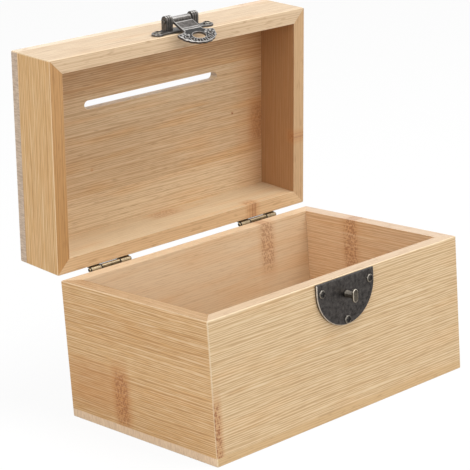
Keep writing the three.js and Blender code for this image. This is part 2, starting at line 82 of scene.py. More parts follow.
class Body(Enum):
    """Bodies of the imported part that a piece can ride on."""

    BOX = "box"
    LID = "lid"
    HASP = "hasp"
    KNOB = "knob"


class Slot(Enum):
    """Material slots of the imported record."""

    BAMBOO = "bamboo"
    PANEL = "panel_bamboo"
    BRASS = "hinge_brass"
    PEWTER = "hasp_metal"
    STEEL = "screw_steel"


class Grain(Enum):
    """How a board lies: the directions along its strands, across its strips and through it."""

    FRONT = ((1, 0, 0), (0, 0, 1), (0, -1, 0))
    END = ((0, 1, 0), (0, 0, 1), (1, 0, 0))
    FLAT = ((1, 0, 0), (0, 1, 0), (0, 0, 1))


class Wall(Enum):
    """Walls of a carcass: the direction each one faces, the one it runs in, and its grain."""

    FRONT = ((0, -1, 0), (1, 0, 0), Grain.FRONT)
    BACK = ((0, 1, 0), (1, 0, 0), Grain.FRONT)
    LEFT = ((-1, 0, 0), (0, 1, 0), Grain.END)
    RIGHT = ((1, 0, 0), (0, 1, 0), Grain.END)


class Pick(Enum):
    """What the bench selects in edit mode."""

    EDGE = "EDGE"
    FACE = "FACE"


class Tool(Enum):
    """How a second solid works on a first one."""

    CUT = "DIFFERENCE"
    FUSE = "UNION"


class Coat(Enum):
    """Material slots of a metal piece: its ground, its rubbed high spots with painted highlights,
    and its dirty hollows with painted shade.
    """

    GROUND = 0
    WORN = 1
    GRIME_AND_SHADE = 2


def turn(degrees: float, axis: str) -> Matrix:
    """Turn about an axis through the origin."""
    return Matrix.Rotation(math.radians(degrees), 4, axis)


def shift(x: float, y: float, z: float) -> Matrix:
    """Shift by some millimetres."""
    return Matrix.Translation((x, y, z))


def turn_about(point: Vector, degrees: float) -> Matrix:
    """Turn about an axis along X through a point."""
    return Matrix.Translation(point) @ turn(degrees, "X") @ Matrix.Translation(-point)


SHUT = Matrix.Identity(4)
LID_OPEN = turn_about(HINGE_PIN, -85.0)
HASP_DROOP = LID_OPEN @ turn_about(HASP_PIN, 24.0)

# How pieces from the bench stand on the front, on the back, and lie along a pin
ON_FRONT = turn(90.0, "X")
ON_BACK = turn(180.0, "Z") @ ON_FRONT
ON_PIN = turn(90.0, "Y")


def arc(centre: Pair, radii: Pair, start: float, end: float, steps: int) -> list[Vector]:
    """Points on an elliptic arc in the plane of the bench.

    Args:
        centre: the middle of the ellipse.
        radii: its two half axes.
        start: the first angle in degrees.
        end: the last angle in degrees.
        steps: how many chords the arc has.

    Returns:
        The points, both ends included.
    """
    points = []
    for i in range(steps + 1):
        angle = math.radians(start + (end - start) * i / steps)
        x = centre[0] + radii[0] * math.cos(angle)
        y = centre[1] + radii[1] * math.sin(angle)
        points.append(Vector((x, y, 0.0)))
    return points


def bow(start: Pair, pull: Pair, end: Pair, steps: int = 8) -> list[Vector]:
    """Points on a curve drawn from one point to another and pulled towards a third.

    Args:
        start: the first point.
        pull: the point that pulls the curve.
        end: the last point.
        steps: how many chords the curve has.

    Returns:
        The points after the first one.
    """
    points = []
    for i in range(1, steps + 1):
        t = i / steps
        x, y = (
            (1 - t) ** 2 * a + 2 * t * (1 - t) * b + t * t * c for a, b, c in zip(start, pull, end)
        )
        points.append(Vector((x, y, 0.0)))
    return points


def at_level(z: float) -> Test:
    """Test for edges that lie flat at one level."""
    return lambda a, b: abs(a.z - z) < NEAR and abs(b.z - z) < NEAR


def clear_bench() -> None:
    """Leave edit mode and deselect everything."""
    if bpy.context.mode != "OBJECT":
        bpy.ops.object.mode_set(mode="OBJECT")
    bpy.ops.object.select_all(action="DESELECT")


def take(piece: Piece) -> None:
    """Put one piece alone on the bench, selected and active.

    Args:
        piece: the piece.
    """
    clear_bench()
    piece.select_set(True)
    bpy.context.view_layer.objects.active = piece


def work_on(piece: Piece) -> None:
    """Open a piece in edit mode with all of it selected.

    Args:
        piece: the piece.
    """
    take(piece)
    bpy.ops.object.mode_set(mode="EDIT")
    bpy.ops.mesh.select_mode(type="VERT")
    bpy.ops.mesh.select_all(action="SELECT")


def pick(piece: Piece, kind: Pick, test: Test) -> None:
    """Open a piece in edit mode and select some of its edges or faces.

    Args:
        piece: the piece.
        kind: whether edges or faces are picked.
        test: takes an edge's two ends, or a face's middle and normal, and says if it is picked.
    """
    work_on(piece)
    bpy.ops.mesh.select_mode(type=kind.value)
    bpy.ops.mesh.select_all(action="DESELECT")
    mesh = bmesh.from_edit_mesh(piece.data)
    if kind is Pick.EDGE:
        for edge in mesh.edges:
            edge.select_set(test(edge.verts[0].co, edge.verts[1].co))
    else:
        for face in mesh.faces:
            face.select_set(test(face.calc_center_median(), face.normal))
    bmesh.update_edit_mesh(piece.data)


def settle() -> Piece:
    """Fix the size and place of the piece on the bench in its mesh."""
    bpy.ops.object.transform_apply(location=True, rotation=True, scale=True)
    return bpy.context.object


def add_block(low: Sequence[float], high: Sequence[float]) -> Piece:
    """Start a piece from a block between two corners.

    Args:
        low: the lowest corner.
        high: the highest corner.

    Returns:
        The block.
    """
    clear_bench()
    middle = [(a + b) / 2 for a, b in zip(low, high)]
    size = [b - a for a, b in zip(low, high)]
    bpy.ops.mesh.primitive_cube_add(size=1, location=middle, scale=size)
    return settle()


def draw_line(points: Sequence[Vector]) -> Piece:
    """Draw a line of edges with the extrude tool, starting from a single vertex.

    Args:
        points: where the line goes.

    Returns:
        The line, in edit mode with all of it selected.
    """
    clear_bench()
    bpy.ops.mesh.primitive_plane_add(size=1, location=points[0])
    line = settle()
    work_on(line)
    bpy.ops.mesh.merge(type="CENTER")
    for here, there in zip(points, points[1:]):
        bpy.ops.mesh.extrude_vertices_move(TRANSFORM_OT_translate={"value": there - here})
    bpy.ops.mesh.select_all(action="SELECT")
    return line


def close_up() -> None:
    """Merge the doubles of the mesh in edit mode, turn its faces outwards and leave it."""
    bpy.ops.mesh.select_all(action="SELECT")
    bpy.ops.mesh.remove_doubles(threshold=NEAR)
    bpy.ops.mesh.normals_make_consistent(inside=False)
    bpy.ops.object.mode_set(mode="OBJECT")


def cut_sheet(outline: Sequence[Vector], depth: Vector, level: float = 0.0) -> Piece:
    """Fill a closed outline and extrude it into a solid.

    Args:
        outline: the corners in order, the first not repeated.
        depth: how far and which way the face is extruded.
        level: how far the outline is lifted off the bench.

    Returns:
        The solid.
    """
    sheet = draw_line([point + UP * level for point in outline])
    bpy.ops.mesh.edge_face_add()
    bpy.ops.mesh.extrude_region_move(TRANSFORM_OT_translate={"value": depth})
    close_up()
    return sheet


def turn_profile(profile: Sequence[Pair], facets: int) -> Piece:
    """Spin a profile about Z, as on a lathe.

    Args:
        profile: radius and height of each point; a ring's first point is repeated at its end.
        facets: how many facets the turned form has.

    Returns:
        The turned solid.
    """
    form = draw_line([Vector((radius, 0.0, height)) for radius, height in profile])
    bpy.ops.mesh.spin(steps=facets, angle=math.tau, center=(0, 0, 0), axis=(0, 0, 1))
    close_up()
    return form


def combine(piece: Piece, tool: Piece, how: Tool) -> None:
    """Cut one solid with another or fuse them, and put the other away.

    Args:
        piece: the solid that stays.
        tool: the solid that works on it.
        how: cut or fuse.
    """
    take(piece)
    step = piece.modifiers.new(how.name.lower(), "BOOLEAN")
    step.operation = how.value
    step.solver = "EXACT"
    step.object = tool
    bpy.ops.object.modifier_apply(modifier=step.name)
    bpy.data.objects.remove(tool)


def drill(piece: Piece, radius: float, span: Pair, place: Matrix, facets: int = 24) -> None:
    """Drill a round hole.

    Args:
        piece: the solid.
        radius: the hole's radius.
        span: where the bit starts and ends along its own axis.
        place: what carries the bit from the bench to the hole.
        facets: how many facets the hole has.
    """
    low, high = span
    bit = turn_profile([(0.0, low), (radius, low), (radius, high), (0.0, high)], facets)
    carry(bit, place)
    combine(piece, bit, Tool.CUT)


def ease(
    piece: Piece, width: float, test: Test, segments: int = 2, coat: Coat = Coat.GROUND
) -> None:
    """Round off some edges.

    Args:
        piece: the piece.
        width: how far the rounding reaches on each side.
        test: takes an edge's two ends and says if it is rounded.
        segments: how many facets the rounding has.
        coat: which material slot it gets.
    """
    pick(piece, Pick.EDGE, test)
    bpy.ops.mesh.bevel(
        offset=width, offset_type="OFFSET", segments=segments, profile=0.5,
        affect="EDGES", clamp_overlap=False, material=coat.value,
    )
    bpy.ops.object.mode_set(mode="OBJECT")


def sink(piece: Piece, level: float, rim: float, slope: float, depth: float) -> None:
    """Sink the flat front of a piece, leaving a raised rim round it.

    Args:
        piece: the piece.
        level: the level of its front.
        rim: how wide the rim is.
        slope: how wide the slope is that leads down from it.
        depth: how deep the sunk face lies.
    """
    pick(piece, Pick.FACE, lambda at, up: at.z > level - NEAR and up.z > FLAT_UP)
    bpy.ops.mesh.inset(thickness=rim)
    bpy.ops.mesh.inset(thickness=slope, depth=-depth)
    bpy.ops.object.mode_set(mode="OBJECT")


def coat_faces(piece: Piece, coat: Coat, test: Test) -> None:
    """Give some faces another of the piece's material slots.

    Args:
        piece: the piece, already dressed.
        coat: the slot.
        test: takes a face's middle and normal and says if it is coated.
    """
    pick(piece, Pick.FACE, test)
    piece.active_material_index = coat.value
    bpy.ops.object.material_slot_assign()
    bpy.ops.object.mode_set(mode="OBJECT")


def copy_piece(piece: Piece) -> Piece:
    """Copy a piece with a mesh of its own.

    Args:
        piece: the model.

    Returns:
        The copy.
    """
    take(piece)
    bpy.ops.object.duplicate(linked=False)
    return bpy.context.object


def carry(piece: Piece, place: Matrix) -> None:
    """Move or turn a piece and fix that in its mesh.

    Args:
        piece: the piece.
        place: where it goes.
    """
    take(piece)
    piece.matrix_world = place
    settle()


def dress(piece: Piece, materials: Sequence[bpy.types.Material]) -> Piece:
    """Give a piece its materials, one for each slot.

    Args:
        piece: the piece.
        materials: the materials.

    Returns:
        The same piece.
    """
    piece.data.materials.clear()
    for material in materials:
        piece.data.materials.append(material)
    return piece


def deliver(piece: Piece, node: str, body: Body, place: Matrix) -> None:
    """Merge doubles and carry a finished piece to its place in metres, for its CAD node.

    Args:
        piece: the piece, dressed, in millimetres.
        node: the CAD node it stands for.
        body: the body it rides on.
        place: what carries it from the bench to its place, in millimetres.
    """
    work_on(piece)
    bpy.ops.mesh.remove_doubles(threshold=NEAR)
    bpy.ops.object.mode_set(mode="OBJECT")
    carry(piece, Matrix.Scale(MM, 4) @ place)
    bpy.ops.object.shade_smooth_by_angle(angle=CREASE)
    flat = piece.modifiers.new("flat faces", "WEIGHTED_NORMAL")
    flat.keep_sharp = True
    bpy.ops.object.modifier_apply(modifier=flat.name)
    piece.name = piece.data.name = f"{node}_visual"
    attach(piece, body.value)
    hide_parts(node)
    LOG.info("%s: %d faces on %s", piece.name, len(piece.data.polygons), body.value)


def linear(colour: str) -> tuple[float, float, float, float]:
    """Turn an sRGB hex colour into linear values.

    Args:
        colour: such as #D9B483.

    Returns:
        Red, green, blue and a full alpha.
    """
    shares = [int(colour[i:i + 2], 16) / 255 for i in (1, 3, 5)]
    values = [c / 12.92 if c <= 0.04045 else ((c + 0.055) / 1.055) ** 2.4 for c in shares]
    return (values[0], values[1], values[2], 1.0)


# Sockets of the Mix node when it mixes colours
SHARE, FIRST, SECOND = 0, 6, 7
WHITE = "#FFFFFF"


class Drawing:
    """The node tree that a finish is drawn in."""

    def __init__(self, holder: bpy.types.Material | bpy.types.World) -> None:
        """Start with an empty tree.

        Args:
            holder: the material or world that the tree belongs to.
        """
        holder.use_nodes = True
        self.tree = holder.node_tree
        self.tree.nodes.clear()

    def add(self, kind: str, inputs: dict | None = None, **settings: object) -> Node:
        """Add one node.

        Args:
            kind: Blender's name for the kind of node, without its prefix.
            inputs: for each input, a socket or node that feeds it, or its value.
            settings: properties of the node.

        Returns:
            The node.
        """
        node = self.tree.nodes.new(f"ShaderNode{kind}")
        for key, value in settings.items():
            setattr(node, key, value)
        for key, value in (inputs or {}).items():
            if isinstance(value, Node):
                value = next(output for output in value.outputs if output.enabled)
            if isinstance(value, Socket):
                self.tree.links.new(value, node.inputs[key])
            else:
                node.inputs[key].default_value = value
        return node

    def pattern(self, where: Node | Socket, size: Size, detail: float, rough: float) -> Node:
        """Draw a cloudy pattern at its real size.

        Args:
            where: the place that it is drawn at.
            size: how long its marks are on each axis, in the units of the place.
            detail: how many finer patterns lie in it.
            rough: how strong those are.

        Returns:
            The pattern, from 0 to 1.
        """
        rates = tuple(1 / length for length in size)
        scaled = self.add("VectorMath", {0: where, 1: rates}, operation="MULTIPLY")
        return self.add(
            "TexNoise", {"Vector": scaled, "Scale": 1.0, "Detail": detail, "Roughness": rough},
        )

    def tint(
        self, under: Node | Sequence[float], over: Node | str, value: Node | Socket, span: Pair,
        most: float = 1.0, **settings: str,
    ) -> Node:
        """Lay a colour over another where a value lies past a limit.

        Args:
            under: the colour so far.
            over: the colour that is laid over it.
            value: what decides how much of it shows.
            span: where it starts to show and where it shows most.
            most: how much of it shows there.
            settings: how the colours are mixed, where they don't simply cover.

        Returns:
            The mixed colour.
        """
        share = self.add(
            "MapRange", {"Value": value, "From Min": span[0], "From Max": span[1], "To Max": most},
        )
        colour = linear(over) if isinstance(over, str) else over
        return self.add(
            "Mix", {SHARE: share, FIRST: under, SECOND: colour}, data_type="RGBA", **settings,
        )


@dataclass(frozen=True)
class WarmBand:
    """A warm band across a strip with rows of small brown spots in it, as at a bamboo node; the
    wide spotless one on the lid panel is painted shade.
    """

    along: float
    across: float
    length: float
    height: float
    spots: float = 0.7
    halo_and_shade: float = 0.45


# How far a board's strips may reach to either side of the frame's middle, in millimetres, and
# how far the patterns of a palest and a deepest strip are shifted against each other
STRIP_REACH = 130.0
STRIP_SHIFT = (900.0, 0.0, 90.0)

# How strong the finer noises are, and the values between which each colour and the gloss come in
GRAIN_ROUGH = 0.6
GLOSS = (0.3, 0.7)
PALE_STRAND = (0.48, 0.34)
DARK_STRAND = (0.5, 0.66)
WARM_CLOUD = (0.5, 0.72)
DASH = (0.6, 0.74)
TICK = (0.3, 0.7)

# How far apart the Wave node draws its diagonal lines before they are scaled
WAVE_PERIOD = math.pi / 5

# Distances from the middle of a bamboo node or of a band of painted shade, 1 at its rim, between
# which its warm band and its spots come in; distances from a spot's middle in the same way, and
# how much the spots differ in size
HALO = (2.6, 0.4)
SPOT_BAND = (1.25, 0.6)
SPOT = (0.78, 0.5)
SPOT_LOT = 0.3

# Parts of the normal between which a face counts as the side in painted shade, a cut edge or an
# arris
SHADED_SIDE = (-0.5, -0.9)
CUT_FACE = (0.8, 0.95)
ARRIS = (0.99, 0.9)


@dataclass(frozen=True)
class BambooFinish:
    """Laminated moso bamboo, planed, sanded and sealed with a thin satin lacquer.

    To the eye that is a pale honey ground, crisp fine strands all along the board, strips that
    differ a little in tone, spotted bands where a node was, and a low even sheen.
    """

    name: str
    pale: str
    deep: str
    edge: str = "#E4C9A7"
    warm: str = "#D8A468"
    light: str = "#F0DDBD"
    strand: str = "#95683A"
    node_colour: str = "#8A4A20"
    node_and_shade_warm: str = "#BC7C42"
    end_pale: str = "#D8BC9C"
    end_dark: str = "#C3A386"

    # Painted shade multiplied over the side that faces into the carcass; none where no side gets it
    inner_side_shade: str = ""

    # Where each strip starts across the board, in millimetres, and its tone from pale 0 to deep 1
    strips: tuple[tuple[float, float], ...] = ((-STRIP_REACH, 0.4), (20.0, 0.5), (50.0, 0.42))
    cloud_contrast: float = 0.3
    warm_share: float = 0.3
    light_share: float = 0.4
    strand_share: float = 0.4
    dash_share: float = 0.3
    edge_lines: float = 0.3
    # How much paler the arrises are: sanded wood, with a painted highlight
    arris_pale_and_highlight: float = 0.5
    nodes_and_shade_bands: tuple[WarmBand, ...] = ()

    # Size of each pattern along the strands, across them and through the board, in millimetres.
    # Real fibre bundles are about 0.5 mm apart; the strands are drawn three times as far to show.
    strand_pitch: float = 1.45
    strand_depth: float = 0.28
    strand_fade: tuple[float, float] = (0.16, 0.56)
    wander_size: Size = (80.0, 2.4, 2.4)
    wander: float = 11.0
    cloud_size: Size = (110.0, 7.0, 40.0)
    warm_size: Size = (60.0, 9.0, 30.0)
    strand_size: Size = (15.0, 1.0, 1.0)
    dash_size: Size = (8.0, 0.4, 2.0)
    tick_size: Size = (30.0, 0.9, 4.0)
    spot_size: Size = (1.3, 1.6, 90.0)

    # The lacquer, smoother on pale strands, over relief that the sandpaper left
    smooth: float = 0.42
    dull: float = 0.56
    bump: float = 0.3
    bump_height: float = 0.05
    refraction: float = 1.5

    def material(self, grain: Grain, place: Matrix) -> bpy.types.Material:
        """Build the finish for one board.

        Args:
            grain: how the board lies.
            place: what carried the board from the bench to its place.

        Returns:
            The material.
        """
        material = bpy.data.materials.new(self.name)
        BambooDrawing(material, self, grain, place).draw()
        return material


class BambooDrawing(Drawing):
    """One board's bamboo, drawn in millimetres along, across and through the board."""

    def __init__(
        self, material: bpy.types.Material, finish: BambooFinish, grain: Grain, place: Matrix
    ) -> None:
        """Lay out the board's own axes and the patterns on them.

        Args:
            material: the empty material.
            finish: the board's finish.
            grain: how the board lies.
            place: what carried the board from the bench to its place.
        """
        super().__init__(material)
        self.finish = finish
        to_grain = Matrix(grain.value).to_4x4() @ place.inverted()
        angles = to_grain.to_euler("XYZ")
        where = self.add("TexCoord")
        self.grain = self.add("Mapping", {
            "Vector": where.outputs["Object"], "Location": to_grain.translation,
            "Rotation": angles, "Scale": (1 / MM, 1 / MM, 1 / MM),
        })
        self.facing = self.add(
            "Mapping", {"Vector": where.outputs["Normal"], "Rotation": angles},
            vector_type="VECTOR",
        )
        self.strip = self.strip_tones()
        shifted = self.add(
            "VectorMath", {0: self.strip, 1: STRIP_SHIFT, 2: self.grain},
            operation="MULTIPLY_ADD",
        )
        self.noises = {}
        for name, size, detail in (
            ("cloud", finish.cloud_size, 2.0), ("warm", finish.warm_size, 1.0),
            ("strand", finish.strand_size, 1.0), ("dash", finish.dash_size, 1.0),
            ("tick", finish.tick_size, 1.0), ("wander", finish.wander_size, 0.0),
        ):
            self.noises[name] = self.pattern(shifted, size, detail, GRAIN_ROUGH)
        self.noises["strand"] = self.comb(shifted)

    def draw(self) -> None:
        """Draw the colour, the gloss and the fine relief."""
        finish, strand = self.finish, self.noises["strand"]
        rough = self.add("MapRange", {
            "Value": strand, "From Min": GLOSS[0], "From Max": GLOSS[1],
            "To Min": finish.smooth, "To Max": finish.dull,
        })
        bump = self.add("Bump", {
            "Height": strand, "Strength": finish.bump, "Distance": finish.bump_height * MM,
        })
        shader = self.add("BsdfPrincipled", {
            "Base Color": self.marks(self.ends_and_arrises(self.ground())),
            "Roughness": rough, "Normal": bump, "IOR": finish.refraction,
        })
        self.add("OutputMaterial", {"Surface": shader})

    def strip_tones(self) -> Node:
        """Give each glued strip of the board its own tone.

        Returns:
            The tone from pale 0 to deep 1, as a grey.
        """
        axes = self.add("SeparateXYZ", {"Vector": self.grain})
        across = self.add("MapRange", {
            "Value": axes.outputs["Y"], "From Min": -STRIP_REACH, "From Max": STRIP_REACH,
        })
        ramp = self.add("ValToRGB", {"Fac": across})
        stops = ramp.color_ramp.elements
        ramp.color_ramp.interpolation = "CONSTANT"
        stops.remove(stops[1])
        for number, (start, tone) in enumerate(self.finish.strips):
            place = (start + STRIP_REACH) / (2 * STRIP_REACH)
            stop = stops.new(place) if number else stops[0]
            stop.position = place
            stop.color = (tone, tone, tone, 1.0)
        return ramp

    def comb(self, shifted: Node) -> Node:
        """Comb the strands: lines side by side at an even pitch, which wander and fade in places.

        Args:
            shifted: the place in millimetres, shifted along the grain from strip to strip.

        Returns:
            The strands, pale below one half and dark above it.
        """
        finish = self.finish
        rate = WAVE_PERIOD / finish.strand_pitch
        spread = self.add("VectorMath", {0: shifted, 1: (0.0, rate, rate)}, operation="MULTIPLY")
        phase = self.add(
            "Math", {0: self.noises["wander"], 1: finish.wander}, operation="MULTIPLY",
        )
        lines = self.add(
            "TexWave", {"Vector": spread, "Scale": 1.0, "Phase Offset": phase},
            bands_direction="DIAGONAL",
        )
        low, high = finish.strand_fade
        fade = self.add("MapRange", {"Value": self.noises["strand"], "To Min": low, "To Max": high})
        return self.add(
            "Math", {0: lines.outputs["Fac"], 1: finish.strand_depth, 2: fade},
            operation="MULTIPLY_ADD",
        )

    def ground(self) -> Node:
        """Mix the ground colour of the strips with the strands that run along them.

        Returns:
            The colour so far.
        """
        finish, noises = self.finish, self.noises
        drift = 0.5 * finish.cloud_contrast
        cloud = self.add("MapRange", {"Value": noises["cloud"], "To Min": -drift, "To Max": drift})
        tone = self.add("Math", {0: self.strip, 1: cloud}, operation="ADD", use_clamp=True)
        colour = self.tint(linear(finish.pale), finish.deep, tone, (0.0, 1.0))
        for over, noise, span, most in (
            (finish.warm, "warm", WARM_CLOUD, finish.warm_share),
            (finish.light, "strand", PALE_STRAND, finish.light_share),
            (finish.strand, "strand", DARK_STRAND, finish.strand_share),
        ):
            colour = self.tint(colour, over, noises[noise], span, most)
        return colour

    def ends_and_arrises(self, colour: Node) -> Node:
        """Lay painted shade on the inner side; show cut ends as grey pink end grain, cut edges
        paler, and sanded arrises paler with a painted highlight.

        Args:
            colour: the colour so far.

        Returns:
            The colour with its edges.
        """
        finish, noises = self.finish, self.noises
        # Painted shade, multiplied over the side that faces into the carcass
        if finish.inner_side_shade:
            side = self.add("SeparateXYZ", {"Vector": self.facing}).outputs["Z"]
            colour = self.tint(colour, finish.inner_side_shade, side, SHADED_SIDE, blend_type="MULTIPLY")
        size = self.add("VectorMath", {0: self.facing}, operation="ABSOLUTE")
        axes = self.add("SeparateXYZ", {"Vector": size})
        along, across, through = (axes.outputs[name] for name in ("X", "Y", "Z"))
        lined = self.tint(
            linear(finish.edge), finish.strand, noises["strand"], DARK_STRAND, finish.edge_lines,
        )
        end_grain = self.tint(linear(finish.end_pale), finish.end_dark, noises["tick"], TICK)
        colour = self.tint(colour, lined, across, CUT_FACE)
        colour = self.tint(colour, end_grain, along, CUT_FACE)
        # Arrises paler: sanded wood, with a painted highlight where the rounding catches light
        most = self.add("Math", {0: along, 1: across}, operation="MAXIMUM")
        most = self.add("Math", {0: most, 1: through}, operation="MAXIMUM")
        return self.tint(colour, finish.light, most, ARRIS, finish.arris_pale_and_highlight)

    def marks(self, colour: Node) -> Node:
        """Add the short dark dashes of cut fibre bundles, the board's bamboo nodes and any band of
        painted shade.

        Args:
            colour: the colour so far.

        Returns:
            The colour with the marks.
        """
        finish = self.finish
        colour = self.tint(colour, finish.strand, self.noises["dash"], DASH, finish.dash_share)
        if not finish.nodes_and_shade_bands:
            return colour
        rates = tuple(1 / length for length in finish.spot_size)
        scaled = self.add("VectorMath", {0: self.grain, 1: rates}, operation="MULTIPLY")
        cells = self.add("TexVoronoi", {"Vector": scaled, "Scale": 1.0}, feature="F1")
        lots = self.add("SeparateXYZ", {"Vector": cells.outputs["Color"]})
        spots = self.add(
            "Math", {0: lots.outputs["X"], 1: SPOT_LOT, 2: cells.outputs["Distance"]},
            operation="MULTIPLY_ADD",
        )
        spots = self.add("MapRange", {"Value": spots, "From Min": SPOT[0], "From Max": SPOT[1]})
        for leaf in finish.nodes_and_shade_bands:
            middle = (leaf.along, leaf.across, 0.0)
            rates = (2 / leaf.length, 2 / leaf.height, 0.0)
            away = self.add("VectorMath", {0: self.grain, 1: middle}, operation="SUBTRACT")
            away = self.add("VectorMath", {0: away, 1: rates}, operation="MULTIPLY")
            square = self.add("VectorMath", {0: away, 1: away}, operation="MULTIPLY")
            far = self.add("VectorMath", {0: square}, operation="LENGTH")
            inside = self.add(
                "MapRange", {"Value": far, "From Min": SPOT_BAND[0], "From Max": SPOT_BAND[1]},
            )
            seen = self.add("Math", {0: spots, 1: inside}, operation="MULTIPLY")
            colour = self.tint(colour, finish.node_and_shade_warm, far, HALO, leaf.halo_and_shade)
            colour = self.tint(colour, finish.node_colour, seen, (0.0, 1.0), leaf.spots)
        return colour


# How strong the finer noises of the patina are, and the values between which it goes from dark and
# dull to light and smooth; then the grit of rubbed metal and the smaller clouds of the castings
PATINA_ROUGH = 0.65
PATINA = (0.5, 0.95)
BRIGHT_GRIT = 0.12
FINE_CLOUD = (1.8, 1.8, 1.8)
FINEST_CLOUD = (1.4, 1.4, 1.4)


@dataclass(frozen=True)
class AgedMetal:
    """Zinc or steel plated, darkened and rubbed back, under a thin lacquer.

    To the eye that is a cloudy dark ground with a fine grit and faint rubbing lines, brighter and
    smoother where hands and the polishing wheel reached.
    """

    name: str
    dark: str
    light: str
    smooth: float = 0.32
    dull: float = 0.5
    grit_bump: float = 0.25
    metallic: float = 1.0

    # Clouds of the patina and lines of the rubbing, in millimetres.
    # Real rubbing lines are under 0.1 mm apart; these are coarse enough to show.
    cloud_size: Size = (3.2, 3.2, 3.2)
    line_size: Size = (0.35, 2.5, 2.5)
    line_share: float = 0.45
    grit_height: float = 0.12

    def material(self) -> bpy.types.Material:
        """Build the finish.

        Returns:
            The material.
        """
        material = bpy.data.materials.new(self.name)
        drawing = Drawing(material)
        where = drawing.add("TexCoord").outputs["Object"]
        cloud, lines = (
            drawing.pattern(where, tuple(length * MM for length in size), detail, PATINA_ROUGH)
            for size, detail in ((self.cloud_size, 4.0), (self.line_size, 2.0))
        )
        patina = drawing.add(
            "Math", {0: lines, 1: self.line_share, 2: cloud}, operation="MULTIPLY_ADD",
        )
        rough = drawing.add("MapRange", {
            "Value": patina, "From Min": PATINA[0], "From Max": PATINA[1],
            "To Min": self.dull, "To Max": self.smooth,
        })
        bump = drawing.add("Bump", {
            "Height": patina, "Strength": self.grit_bump, "Distance": self.grit_height * MM,
        })
        shader = drawing.add("BsdfPrincipled", {
            "Base Color": drawing.tint(linear(self.dark), self.light, patina, PATINA),
            "Roughness": rough, "Normal": bump, "Metallic": self.metallic,
        })
        drawing.add("OutputMaterial", {"Surface": shader})
        return material


class MetalShelf:
    """The metal finishes of the fittings, each made once: ground, rubbed high spots with painted
    highlights, grime with painted shade.
    """

    def __init__(self) -> None:
        """Build the finishes."""
        # Near-black coat: grime, with painted shade in recesses, gaps and grooves
        self.grime_and_shade = AgedMetal(
            "Oily_grime_and_shade_in_hollows", "#0C0A09", "#1C1917", 0.6, 0.8, 0.4, 0.0,
        ).material()
        self.pewter = self.coats(
            AgedMetal("Antiqued_pewter_plate", "#2F2D2D", "#605C5A", cloud_size=FINE_CLOUD),
            AgedMetal(
                "Antiqued_pewter_rubbed_bright", "#A8A097", "#DAD3C8", 0.36, 0.48, BRIGHT_GRIT,
            ),
        )
        self.zinc = self.coats(
            AgedMetal("Cast_zinc_antiqued", "#454240", "#7A7571", 0.34, cloud_size=FINE_CLOUD),
            AgedMetal("Cast_zinc_rubbed_bright_and_highlit", "#868380", "#B9B6B3", 0.3, 0.44, BRIGHT_GRIT),
        )
        self.knob = self.coats(
            AgedMetal("Cast_zinc_dull", "#47413A", "#6F685E", 0.5, 0.62, cloud_size=FINEST_CLOUD),
            AgedMetal("Cast_zinc_worn_and_highlit_edge", "#A9A195", "#D6CEC0", 0.36, 0.48, BRIGHT_GRIT),
        )
        self.brass = self.coats(
            AgedMetal("Antiqued_brass_plate", "#46392A", "#7D6A4E", 0.3, 0.46),
            AgedMetal(
                "Antiqued_brass_rubbed_bright", "#8C7C63", "#B6A588", 0.28, 0.42, BRIGHT_GRIT,
            ),
        )
        self.steel = self.coats(
            AgedMetal("Blackened_steel_screw", "#3A3835", "#5C5853", 0.34, 0.48),
            AgedMetal(
                "Blackened_steel_rubbed_bright", "#726D66", "#989289", 0.34, 0.46, BRIGHT_GRIT,
            ),
        )

    def coats(self, ground: AgedMetal, worn: AgedMetal) -> list[bpy.types.Material]:
        """Line up the three coats of a metal in the order of their slots."""
        return [ground.material(), worn.material(), self.grime_and_shade]


